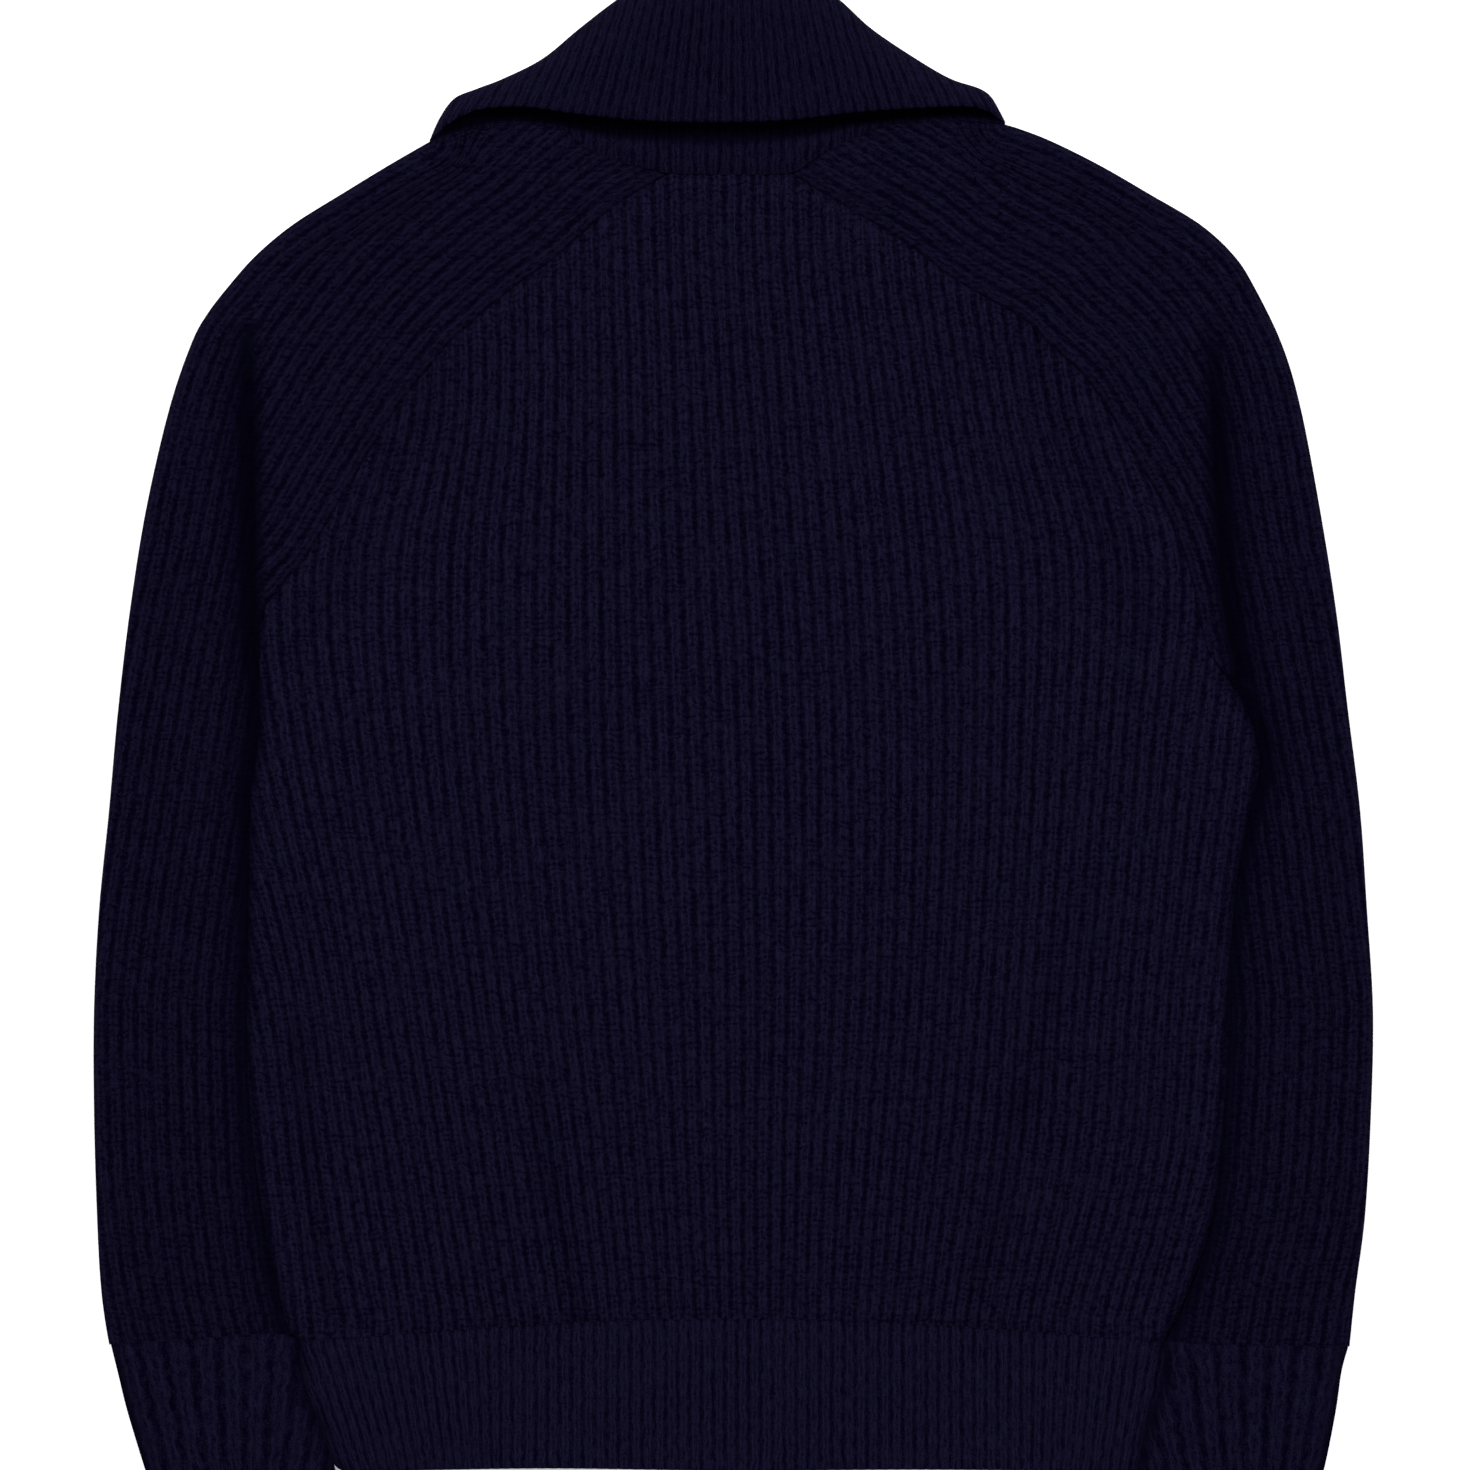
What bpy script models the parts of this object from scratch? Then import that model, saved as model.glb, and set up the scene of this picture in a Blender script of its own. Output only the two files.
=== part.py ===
"""Chunky rib-knit zip-neck sweater with raglan sleeves, laid flat, face down, back panel up.

Bottom layer: front panel, underside of the sleeves, hem and cuffs, and the front stretch of the collar.
Top layer: back panel, upper side of the sleeves, collar stand, and the collar's fall lying over the stand.
Units in the tables are millimetres; x runs to the right, y towards the collar, z up off the surface.
"""
import math

import bmesh
import bpy
import numpy as np
from mathutils import Vector
from mathutils.geometry import delaunay_2d_cdt

MM = 0.001

# ---------------------------------------------------------------- driving sizes (mm)
FRONT_WALL = 3.0            # cloth of every bottom layer
LAYER_GAP = 0.3             # air between two layers that lie on each other
SEAM_GAP = 0.3              # air between two pieces at a seam
WALL = 2.4                  # upper cloth, in the groove between two ribs
RIB_RISE = 2.0              # a rib's crest above its groove
RIM = 2.0                   # upper cloth at its edge
LOFT = 2.0                  # how far the upper layer stands off the lower one inside the edge
LOFT_REACH = 30.0
SEAM_SINK = 0.6             # a seam lies this much lower than the grooves beside it
ROLL = 13.0                 # width over which the upper cloth rolls down to a fold
SEAM_EASE = 3.2             # a rib reaches its full height this far from a seam
EDGE_STEP = 13.0            # spacing of points along an outline
ROW_STEP = 40.0             # spacing of points along a rib
SLOT = 0.6                  # flat hollow inside a tube
FOLD_WALL = 3.6             # cloth left at the side of a tube

BODY_PITCH = 7.9            # one rib and its groove
SLEEVE_PITCH = 7.6
CUFF_RIBS = 7
HEM_RIBS = 73
COLLAR_PITCH = 6.45
COLLAR_FAN = 0.0038         # how fast the collar's ribs draw together, for each mm above the leaf edge

# ---------------------------------------------------------------- outlines (mm)
# Columns: y, left x, right x.
COLLAR_FOLD = (
    (403.0, -2.0, -2.0), (400.0, -22.0, 18.0), (393.0, -42.0, 37.0), (382.0, -60.0, 54.5),
    (366.6, -80.0, 71.5), (351.0, -99.0, 94.5), (340.6, -119.5, 112.5), (335.4, -133.0, 127.7),
    (330.2, -145.0, 134.4), (319.8, -152.6, 140.2),
)
# Columns: y of the left edge, left x, y of the right edge, right x.
SHOULDER_AND_SLEEVE = (
    (308.0, -157.8, 317.2, 141.2), (296.4, -178.0, 309.4, 162.5), (280.8, -203.6, 296.4, 189.0),
    (265.2, -228.5, 280.8, 216.1), (249.6, -247.3, 265.2, 242.1), (234.0, -261.3, 249.6, 259.2),
    (218.4, -273.3, 234.0, 269.6), (202.8, -281.6, 202.8, 284.7), (169.0, -293.0, 169.0, 294.6),
    (117.0, -305.0, 117.0, 304.5), (65.0, -313.3, 65.0, 312.8), (13.0, -319.5, 13.0, 319.0),
    (-39.0, -324.2, -39.0, 325.3), (-91.0, -329.4, -91.0, 328.9), (-143.0, -332.0, -143.0, 332.0),
    (-195.0, -332.0, -195.0, 331.0), (-247.0, -330.5, -247.0, 328.0), (-285.0, -328.0, -285.0, 322.5),
    (-316.0, -323.0, -317.0, 319.0),
)
# Columns: y of the left edge, left x, y of the right edge, right x.
CUFF_OUTER = (
    (-316.0, -323.0, -317.0, 319.0), (-330.0, -319.5, -330.0, 315.4), (-351.0, -314.3, -351.0, 312.3),
    (-380.0, -305.5, -380.0, 306.5), (-403.0, -298.0, -403.0, 300.0),
)
CUFF_INNER = (
    (-314.6, -225.4, -314.6, 222.8), (-342.2, -222.0, -334.9, 222.6), (-358.0, -214.0, -354.6, 216.0),
    (-380.0, -207.5, -381.0, 209.8), (-403.0, -202.5, -403.0, 207.0),
)
SLEEVE_END_LEFT = ((-278.0, -313.0), (-239.0, -310.5))       # x, y between the two ends of the cuff seam
SLEEVE_END_RIGHT = ((276.0, -316.5), (250.0, -315.5))
# The raglan seam from the neck to the side, then the body's side down to the hem.
BODY_EDGE = (
    (291.2, -32.0, 291.2, 28.3), (274.6, -60.6, 256.4, 86.6), (247.0, -92.3, 239.2, 109.5),
    (234.0, -111.0, 227.2, 129.2), (216.8, -131.8, 215.3, 150.5), (202.8, -147.4, 203.3, 162.5),
    (187.2, -160.4, 186.2, 181.2), (169.0, -174.5, 171.6, 191.6), (145.6, -189.0, 151.3, 203.6),
    (119.6, -204.6, 133.1, 214.5), (93.6, -220.2, 114.4, 224.9), (75.4, -235.8, 94.6, 232.7),
    (59.8, -245.2, 74.4, 238.4), (18.2, -245.2, 47.8, 244.7), (-10.0, -247.0, 18.2, 263.4),
    (-32.2, -250.4, -12.5, 272.7), (-85.8, -251.4, -46.8, 266.0), (-129.5, -251.9, -85.8, 259.2),
    (-168.5, -252.5, -129.5, 257.1), (-212.7, -249.3, -168.5, 256.1), (-261.0, -242.1, -212.7, 253.0),
    (-305.2, -232.2, -251.7, 248.3), (-314.6, -225.4, -285.5, 237.4), (-314.6, -225.4, -314.6, 222.8),
)
# Columns: x, y.  The hem's two sides run along the cuffs, and part from them only near the free edge.
HEM_BOTTOM = ((-202.0, -382.2), (-100.0, -380.4), (0.0, -381.6), (100.0, -381.0), (208.6, -382.2))
HEM_SIDE = {
    "left": ((-225.4, -314.6), (-221.4, -342.2), (-213.3, -358.0), (-207.6, -370.0), (-202.0, -382.2)),
    "right": ((222.8, -314.6), (222.1, -334.9), (215.3, -354.6), (208.6, -382.2)),
}
# The collar seam: round the back neck, then along the top of each sleeve.  Columns: x, y.
COLLAR_SEAM = (
    (-157.8, 308.0), (-137.0, 314.0), (-111.0, 316.7), (-90.2, 314.6), (-77.7, 304.2), (-58.0, 296.9),
    (-40.3, 292.8), (-32.0, 291.2), (0.0, 290.3), (28.3, 291.2), (39.8, 297.4), (51.2, 304.2),
    (76.2, 314.6), (102.2, 319.3), (141.2, 317.2),
)
LEAF_EDGE = (
    (-150.5, 314.5), (-143.0, 319.5), (-133.4, 324.0), (-111.0, 325.0), (-84.5, 321.4), (-49.1, 317.7),
    (-11.2, 316.7), (26.8, 317.7), (60.1, 321.4), (93.3, 324.0), (121.9, 325.5), (134.0, 323.5),
)
# The crease where the sleeve hangs from its own head: x, y of its lowest line, and how deep it is (0 to 1).
CREASES = {
    "left": ((-250.0, 222.0, 0.0), (-250.5, 205.0, 0.5), (-250.0, 163.0, 1.0), (-249.5, 114.0, 1.0),
             (-249.0, 65.5, 1.0), (-248.0, 40.0, 1.0)),
    "right": ((246.0, 222.0, 0.0), (247.0, 201.8, 0.5), (250.3, 138.3, 1.0), (254.0, 80.1, 1.0),
              (258.0, 52.0, 1.0), (262.5, 30.0, 1.0)),
}
RAGLAN_END = 58.0           # foot of the raglan seam
SEAM_LEAD = (40.0, 24.0)    # ribs of the sleeve head follow the seam on past its two ends
SEAM_TAIL = (14.0, -10.0)
PARTING_SLOPE = 0.9         # above the crease the head and the hanging sleeve part along this slope
HEAD_ROLL = 5.0             # the sleeve head turns down sharply into the crease
SLEEVE_ROLL = 20.0          # the hanging sleeve rises slowly out of it
# How far the ribs of the sleeve drift towards its outer fold.  Columns: y, drift.
SLEEVE_DRIFT = ((-320.0, -8.0), (-230.0, -14.0), (-140.0, -16.0), (-20.0, -9.0), (100.0, 0.0))
SLEEVE_TOP = 7.7            # the sleeve's cloth between two ribs
FOLD_TOP = 4.4              # the top of the cloth right at a fold

# ---------------------------------------------------------------- ribs of the back
# Rib numbers counted from the middle of the chest, at seven places across the panel.
RIB_PLACES = (-241.0, -189.0, -95.4, -1.8, 91.8, 185.4, 237.4)
# Columns: y, then the rib number at each of RIB_PLACES.
BACK_RIBS = (
    (292.0, -30.0, -23.3, -10.7, 1.9, 14.6, 27.2, 34.2),
    (247.0, -30.0, -23.3, -10.8, 1.8, 14.5, 27.0, 34.0),
    (174.0, -30.8, -23.7, -10.9, 1.2, 13.0, 25.6, 32.7),
    (91.0, -27.2, -21.3, -10.7, 0.6, 11.8, 22.8, 29.1),
    (-13.0, -28.3, -22.0, -10.8, 0.0, 11.2, 23.3, 30.3),
    (-138.0, -32.6, -24.8, -12.1, -0.3, 11.7, 24.7, 32.1),
    (-221.0, -34.0, -26.8, -13.7, -0.4, 12.7, 25.7, 33.2),
    (-304.0, -35.2, -28.9, -15.6, -0.6, 14.0, 28.6, 36.3),
)

# ---------------------------------------------------------------- soft creases of the back
# Columns: start x, start y, end x, end y, half width, rise (a trough is negative).
SOFT_FOLDS = (
    (-103.0, 5.0, -38.0, 26.0, 13.0, 0.9),
    (-146.0, -60.0, -146.0, -143.0, 12.0, -1.1),
    (-82.0, -169.0, -64.0, -231.0, 12.0, 0.8),
    (107.0, -273.0, 157.0, -237.0, 13.0, 0.9),
    (140.0, -8.0, 222.0, -57.0, 15.0, -1.2),
    (205.0, -270.0, 214.0, -294.0, 12.0, -1.3),
    (-234.0, -178.0, -226.0, -292.0, 5.0, -1.4),
)

FOLD_CLEAR = 6.0            # no swelling this close to a fold
FOLD_ENDS = (0.3, 0.12)     # a crease fades over this share of its length, down to a little at its ends
BACK_SPOTS, STAND_SPOTS, FALL_SPOTS = 34.0, 20.0, 16.0      # spacing of points on undersides

# ---------------------------------------------------------------- zip (mm)
NECKLINE_DIP = 226.0        # front neck seam at the zip
COLLAR_FRONT_TOP = 352.0    # the collar's front fold at the zip
# The collar's front stretch begins this far out, at its seam and at its fold.
FRONT_INNER, FRONT_OUTER = 30.0, 62.0
FRONT_MIDDLE = 290.0
FRONT_BEND = (40.0, 358.0)
ZIP_BOTTOM = 61.0
CHANNEL = 13.0              # width between the cloth edges
CLOTH_LIFT = 2.2            # the cloth beside the zip is lifted this much by the slider
LIFT_REACH = 34.0
LIFT_START = 20.0           # the lift begins at this height, below the slit
LIFT_COLUMNS = (0.0, 9.5, 16.0, 23.0, 29.0, 34.5)
LIFT_ROW = 17.0
TAPE_WIDTH = 13.0
TAPE = (5.5, 6.2)           # low and high side
BEAD = (4.6, 6.6)
BEAD_WIDTH = 2.4
STOP_LENGTH = 4.0
STOP_HALF = 3.0
STOP_WRAP = 0.2             # the stop wraps the teeth by this much above and below
SLIDER_LENGTH = 11.0
SLIDER_WIDTH = 9.0
SLIDER_TOP = 349.0
SLIDER_LOW = (3.5, 4.3)
SLIDER_HIGH = (6.9, 7.7)
POST = (2.4, 2.6)           # the slider's middle post: width and length
POST_INSET = 0.6
SINK = 0.3                  # joined boxes run this far into each other
LUG_X = (2.1, 3.1)          # the two lugs that hold the pin, inner and outer side
LUG_HALF = 1.0
LUG_DROP = 0.8
PIN_LENGTH = 4.8
HINGE = (340.5, 1.75)       # y and z of the pull tab's axis
PIN_RADIUS = 0.45
EYE_INNER = 0.80
EYE_OUTER = 1.42
EYE_WIDTH = 3.4
TAB_LENGTH = 26.0
TAB_WIDTH = 6.4
TAB_THICK = 1.1
TAB_ROOT = 1.1              # the flat tab begins this far below the axis
TAB_SHOULDER = 6.0
TAB_CORNER = 2.0
OVERSHOOT = 9.0             # a hollow's cutter runs this far past an open end
ZIP_RIDGE = 2.3             # the back cloth lies this much higher over the zip
RIDGE_HALF = 38.0
RIDGE_RUN = (15.0, 58.0)    # the ridge begins and is full at these heights
STAND_BASE = 8.4            # underside of the collar stand over the slider
STAND_FLAT = 12.0           # half the width of its level middle
STAND_FADE = 42.0
TRENCH = (314.0, 9.0, 1.4)  # the stand dips under the fall's free edge: y, half width, depth

# ---------------------------------------------------------------- bands and collar (mm)
EDGE_EASE = 2.4             # ribs of a band reach this close to its edge
EDGE_DIP = 0.9
HEM_RISE = 1.5
CUFF_RISE = 2.4
CUFF_TOP = 7.2
CUFF_EXTRA = 3              # ribs that come in over a cuff's inner side, below its seam
# How far a cuff's ribs lean from its seam to its free edge.  Columns: at the outer side, at the inner side.
CUFF_LEAN = {"left": (25.0, -10.0), "right": (-19.0, 16.0)}
COLLAR_RISE = 1.4
FALL_EDGE = 5.6             # height of the fall's cloth where it turns under
FALL_PUFF = 18.0            # how much higher it stands in the middle
FALL_ROLL = 42.0
FALL_WALL = 3.0
FALL_FADE = 22.0            # the fall's ribs fade out over this distance to the fold
LEAF_SINK = 1.2             # its free edge is this much lower than the grooves beside it
STAND_ROWS = (286.0, 300.0, 312.0)
FALL_ROWS = (312.0, 340.0, 370.0, 402.0)
FAN_BASE = 318.0            # height at which the collar's ribs have their full pitch
FALL_MIDDLE = -4.0          # x of the fall's middle rib

NAVY = (0.0065, 0.0052, 0.0160)
NAVY_RIB = (0.0075, 0.0060, 0.0180)
TAPE_NAVY = (0.0060, 0.0055, 0.0120)


# ---------------------------------------------------------------- small helpers
def clear_scene():
    for obj in list(bpy.data.objects):
        bpy.data.objects.remove(obj, do_unlink=True)


def make_material(name, colour, roughness, metallic=0.0):
    material = bpy.data.materials.new(name)
    material.use_nodes = True
    shader = material.node_tree.nodes["Principled BSDF"]
    shader.inputs["Base Color"].default_value = (*colour, 1.0)
    shader.inputs["Roughness"].default_value = roughness
    shader.inputs["Metallic"].default_value = metallic
    return material


def smoothstep(low, high, value):
    t = min(1.0, max(0.0, (value - low) / (high - low)))
    return t * t * (3.0 - 2.0 * t)


def column_points(table, y_column, x_column):
    return [(row[x_column], row[y_column]) for row in table]


def resample(points, step):
    """Points at an even spacing along a smooth curve through the given ones."""
    pts = [Vector(p) for p in points]
    dense = []
    for i in range(len(pts) - 1):
        a = pts[max(i - 1, 0)]
        b, c = pts[i], pts[i + 1]
        d = pts[min(i + 2, len(pts) - 1)]
        for k in range(12):
            t = k / 12.0
            dense.append(0.5 * ((2 * b) + (c - a) * t + (2 * a - 5 * b + 4 * c - d) * t * t
                                + (3 * b - a - 3 * c + d) * t ** 3))
    dense.append(pts[-1])
    lengths = np.cumsum([0.0] + [(dense[i + 1] - dense[i]).length for i in range(len(dense) - 1)])
    count = max(2, int(round(lengths[-1] / step)) + 1)
    marks = np.linspace(0.0, lengths[-1], count)
    xs = np.interp(marks, lengths, [p.x for p in dense])
    ys = np.interp(marks, lengths, [p.y for p in dense])
    return [(float(x), float(y)) for x, y in zip(xs, ys)]


def join_runs(*runs):
    """One closed outline, anticlockwise, from runs that share their end points."""
    loop = []
    for run in runs:
        for point in run:
            if not loop or math.dist(point, loop[-1]) > 0.05:
                loop.append(tuple(point))
    if math.dist(loop[0], loop[-1]) < 0.05:
        loop.pop()
    area = sum(loop[i - 1][0] * loop[i][1] - loop[i][0] * loop[i - 1][1] for i in range(len(loop)))
    return loop if area > 0 else loop[::-1]


def inset(loop, distance):
    """The anticlockwise outline moved inwards, with mitred corners."""
    result = []
    count = len(loop)
    for i, (x, y) in enumerate(loop):
        before = (Vector(loop[i]) - Vector(loop[i - 1])).normalized()
        after = (Vector(loop[(i + 1) % count]) - Vector(loop[i])).normalized()
        n1, n2 = Vector((-before.y, before.x)), Vector((-after.y, after.x))
        mitre = (n1 + n2).normalized()
        reach = distance / max(0.45, mitre.dot(n1))
        result.append((x + mitre.x * reach, y + mitre.y * reach))
    return result


def inside(loop, x, y):
    hit = False
    j = len(loop) - 1
    for i in range(len(loop)):
        xi, yi = loop[i]
        xj, yj = loop[j]
        if (yi > y) != (yj > y) and x < (xj - xi) * (y - yi) / (yj - yi) + xi:
            hit = not hit
        j = i
    return hit


def distance_to(line, x, y, closed=False):
    """Distance from a point to a broken line."""
    pts = np.array(line + [line[0]] if closed else line, dtype=float)
    a, b = pts[:-1], pts[1:]
    ab = b - a
    t = np.clip(((np.array((x, y)) - a) * ab).sum(1) / np.maximum((ab * ab).sum(1), 1e-9), 0.0, 1.0)
    near = a + ab * t[:, None]
    return float(np.sqrt(((np.array((x, y)) - near) ** 2).sum(1)).min())


def quarter_round(distance, reach):
    """0 at a fold, rising like a quarter of a circle to 1 at its reach."""
    if distance >= reach:
        return 1.0
    return math.sqrt(max(0.0, 1.0 - (1.0 - distance / reach) ** 2))


def clip_rib(points, loop, ease, allowed=None):
    """The stretches of a rib that lie inside an outline, clear of its edge, with a point at each row.

    allowed(x, y), where given, keeps the rib on its own side of a crease.
    """
    fine = resample(points, 2.5)
    rows = {min(range(len(fine)), key=lambda k: math.dist(fine[k], point)) for point in points}
    keep = [inside(loop, *point) and distance_to(loop, *point, closed=True) > ease for point in fine]
    if allowed:
        keep = [kept and allowed(*point) for kept, point in zip(keep, fine)]
    stretches, start = [], None
    for k in range(len(fine) + 1):
        if k < len(fine) and keep[k]:
            start = k if start is None else start
        elif start is not None:
            picks = [start] + [r for r in sorted(rows) if start + 3 < r < k - 4] + [k - 1]
            if k - start > 3:
                stretches.append([fine[i] for i in picks])
            start = None
    return stretches


def flat_net(loop, lines, spots):
    """Triangles over an outline that keep every line as an edge.

    Returns points, triangles, the line each point is on, and the point at each corner of the outline.
    """
    points = list(loop)
    edges = []
    owner = [None] * len(points)
    for number, line in enumerate(lines):
        for k, point in enumerate(line):
            if k:
                edges.append((len(points) - 1, len(points)))
            points.append(point)
            owner.append(number)
    points += spots
    owner += [None] * len(spots)
    result = delaunay_2d_cdt([Vector(p) for p in points], edges, [list(range(len(loop)))], 1, 1e-4)
    new_points, triangles, sources = result[0], result[2], result[3]
    owners = [next((owner[s] for s in source if owner[s] is not None), None) for source in sources]
    corners = {s: k for k, source in enumerate(sources) for s in source if s < len(loop)}
    return new_points, triangles, owners, corners


def clear_spots(loop, spots, clearance):
    """Those spots that lie inside an outline and clear of it."""
    return [s for s in spots if inside(loop, *s) and distance_to(loop, *s, closed=True) > clearance]


def grid_spots(loop, step):
    """An even grid of spots inside an outline."""
    xs, ys = [p[0] for p in loop], [p[1] for p in loop]
    spots = []
    for i in range(int((max(xs) - min(xs)) / step) + 1):
        for j in range(int((max(ys) - min(ys)) / step) + 1):
            spots.append((min(xs) + (i + 0.5) * step, min(ys) + (j + 0.5) * step))
    return clear_spots(loop, spots, step * 0.3)


def sheet_solid(name, loop, ribs, top, bottom, material, spots=()):
    """A closed body of cloth: ribs raised on its upper side, plain underneath.

    ribs is a list of (points, crest); top(x, y, crest, edge) and bottom(x, y) give heights in mm.
    The underside bends at the spots, and so does the upper side where it has no ribs.
    """
    upper = flat_net(loop, [rib[0] for rib in ribs], [] if ribs else list(spots))
    lower = flat_net(loop, [], list(spots))
    mesh = bmesh.new()

    def lay(net, height, flip):
        points, triangles, owners, corners = net
        verts = []
        for i, point in enumerate(points):
            verts.append(mesh.verts.new((point.x * MM, point.y * MM, height(i, point, owners) * MM)))
        for triangle in triangles:
            face = [verts[k] for k in triangle]
            a, b, c = [points[k] for k in triangle[:3]]
            turns_left = (b.x - a.x) * (c.y - a.y) - (b.y - a.y) * (c.x - a.x) > 0
            if turns_left == flip:
                face.reverse()
            mesh.faces.new(face)
        return [verts[corners[i]] for i in range(len(loop))]

    def top_height(i, point, owners):
        crest = 0.0 if owners[i] is None else ribs[owners[i]][1]
        return top(point.x, point.y, crest, owners[i] is None)

    upper_verts = lay(upper, top_height, False)
    lower_verts = lay(lower, lambda i, point, owners: bottom(point.x, point.y), True)
    for i in range(len(loop)):
        mesh.faces.new((upper_verts[i - 1], lower_verts[i - 1], lower_verts[i], upper_verts[i]))
    bmesh.ops.triangulate(mesh, faces=mesh.faces[:])
    bmesh.ops.recalc_face_normals(mesh, faces=mesh.faces[:])
    return add_object(name, mesh, material)


def add_object(name, mesh, material):
    data = bpy.data.meshes.new(name)
    mesh.to_mesh(data)
    mesh.free()
    data.materials.append(material)
    obj = bpy.data.objects.new(name, data)
    bpy.context.scene.collection.objects.link(obj)
    return obj


def box_mesh(mesh, low, high):
    """A box, in mm, added to a bmesh."""
    size = [(h - l) * MM for l, h in zip(low, high)]
    middle = [(h + l) * 0.5 * MM for l, h in zip(low, high)]
    made = bmesh.ops.create_cube(mesh, size=1.0)
    for vert in made["verts"]:
        vert.co = Vector([vert.co[k] * size[k] + middle[k] for k in range(3)])


def apply_boolean(obj, other, operation):
    modifier = obj.modifiers.new(operation.title(), "BOOLEAN")
    modifier.operation = operation
    modifier.object = other
    modifier.solver = "EXACT"
    other.hide_render = True
    other.display_type = "WIRE"


# ---------------------------------------------------------------- shared curves
def side_points(table, side):
    return column_points(table, 0, 1) if side == "left" else column_points(table, 2, 3)


def body_edge(side):
    return resample(side_points(BODY_EDGE, side), EDGE_STEP)


def crease_line(side):
    return [(x, y) for x, y, _ in CREASES[side]]


def crease_depth(side, y):
    rows = sorted(CREASES[side], key=lambda row: row[1])
    return float(np.interp(y, [row[1] for row in rows], [row[2] for row in rows], right=0.0))


def seam_part(start, end):
    """The collar seam between two of its joints, which are rows of the table."""
    return resample([p for p in COLLAR_SEAM if start <= p[0] <= end], 9.0)


NECK_LEFT, NECK_RIGHT = -32.0, 28.3         # where the raglan seams meet the collar
COLLAR_LEFT, COLLAR_RIGHT = COLLAR_SEAM[0][0], COLLAR_SEAM[-1][0]
SEAM_PARTS = {
    "left": seam_part(COLLAR_LEFT, NECK_LEFT),
    "back": seam_part(NECK_LEFT, NECK_RIGHT),
    "right": seam_part(NECK_RIGHT, COLLAR_RIGHT),
}


def collar_seam():
    return SEAM_PARTS["left"] + SEAM_PARTS["back"][1:] + SEAM_PARTS["right"][1:]


SIDES = ("left", "right")
ARMPIT = 30.0               # below this height the body has a side fold and no raglan seam
SLEEVE_OUTER = {side: resample(side_points(SHOULDER_AND_SLEEVE, side), EDGE_STEP) for side in SIDES}
SIDE_FOLD = {side: [p for p in body_edge(side) if p[1] < ARMPIT] for side in SIDES}
ROLL_LINES = {side: crease_line(side) + SIDE_FOLD[side] for side in SIDES}


def soft_folds(x, y):
    """Height of the placed creases at a point."""
    total = 0.0
    for x0, y0, x1, y1, half, rise in SOFT_FOLDS:
        along = Vector((x1 - x0, y1 - y0))
        t = min(1.0, max(0.0, (Vector((x - x0, y - y0)).dot(along)) / along.length_squared))
        near = math.hypot(x - x0 - along.x * t, y - y0 - along.y * t)
        fade = smoothstep(0.0, FOLD_ENDS[0], min(t, 1.0 - t) + FOLD_ENDS[1])
        total += rise * fade * math.exp(-(near / half) ** 2)
    return total


def zip_ridge(x, y):
    return ZIP_RIDGE * math.exp(-(x / RIDGE_HALF) ** 2) * smoothstep(*RIDGE_RUN, y)


def body_loft(x, y):
    """Underside of the top layer, over body and sleeve head: low at the folds, lofted between them."""
    near = min(distance_to(ROLL_LINES["left"], x, y), distance_to(ROLL_LINES["right"], x, y))
    rise = LOFT * smoothstep(0.0, LOFT_REACH, near)
    low = FRONT_WALL + LAYER_GAP
    swell = soft_folds(x, y)
    return max(low, low + rise + (swell if near > FOLD_CLEAR or swell < 0 else 0.0))


# ---------------------------------------------------------------- back and front
def back_rib_x(number, y):
    """Where a rib of the back runs at a height."""
    rows = BACK_RIBS[::-1]
    numbers = [float(np.interp(y, [r[0] for r in rows], [r[k] for r in rows])) for k in range(1, 8)]
    if number < numbers[0]:
        return RIB_PLACES[0] + (number - numbers[0]) * BODY_PITCH
    if number > numbers[-1]:
        return RIB_PLACES[-1] + (number - numbers[-1]) * BODY_PITCH
    return float(np.interp(number, numbers, RIB_PLACES))


def back_roll(x, y):
    """1 on the panel, falling towards the side folds."""
    near = min(distance_to(SIDE_FOLD["left"], x, y), distance_to(SIDE_FOLD["right"], x, y))
    return quarter_round(near, ROLL)


def make_back(material):
    left, right = body_edge("left"), body_edge("right")
    hem_seam = resample([left[-1], (-80.0, -304.5), (60.0, -303.5), right[-1]], EDGE_STEP)
    loop = inset(join_runs(SEAM_PARTS["back"], right, hem_seam[::-1], left[::-1]), SEAM_GAP / 2)
    ribs = []
    levels = np.arange(300.0, -330.0, -ROW_STEP)
    for half in range(-74, 75):
        number = half / 2.0
        line = [(back_rib_x(number, y), float(y)) for y in levels]
        for stretch in clip_rib(line, loop, SEAM_EASE):
            ribs.append((stretch, 1.0 if half % 2 == 0 else 0.0))

    def bottom(x, y):
        return body_loft(x, y) + zip_ridge(x, y)

    def top(x, y, crest, edge):
        if edge:
            return bottom(x, y) + RIM
        roll = back_roll(x, y)
        return bottom(x, y) + RIM + (WALL - RIM + RIB_RISE * crest + SEAM_SINK) * roll

    sheet_solid("back", loop, ribs, top, bottom, material, grid_spots(loop, BACK_SPOTS))


def lift(x, y):
    """How far the zip lifts the bottom cloth beside it."""
    beside = 1.0 - smoothstep(CHANNEL / 2, LIFT_REACH, abs(x))
    return CLOTH_LIFT * beside * smoothstep(LIFT_START, ZIP_BOTTOM, y)


def lift_spots(loop):
    """Spots beside the zip, from the slit out to where the lifted cloth is down on the surface again."""
    spots = []
    y = LIFT_START - LIFT_ROW / 2
    while y < COLLAR_FRONT_TOP:
        for x in LIFT_COLUMNS:
            spots += [(x, y), (-x, y)] if x else [(x, y)]
        y += LIFT_ROW
    return clear_spots(loop, spots, 1.5)


def front_neckline():
    """From the left raglan end to the right one, down round the front neck."""
    points = []
    for k in range(25):
        t = -1.0 + k / 12.0
        x = -32.0 + (28.3 + 32.0) * (t + 1.0) / 2.0
        points.append((x, NECKLINE_DIP + (291.2 - NECKLINE_DIP) * abs(t) ** 2.4))
    return points


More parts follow.
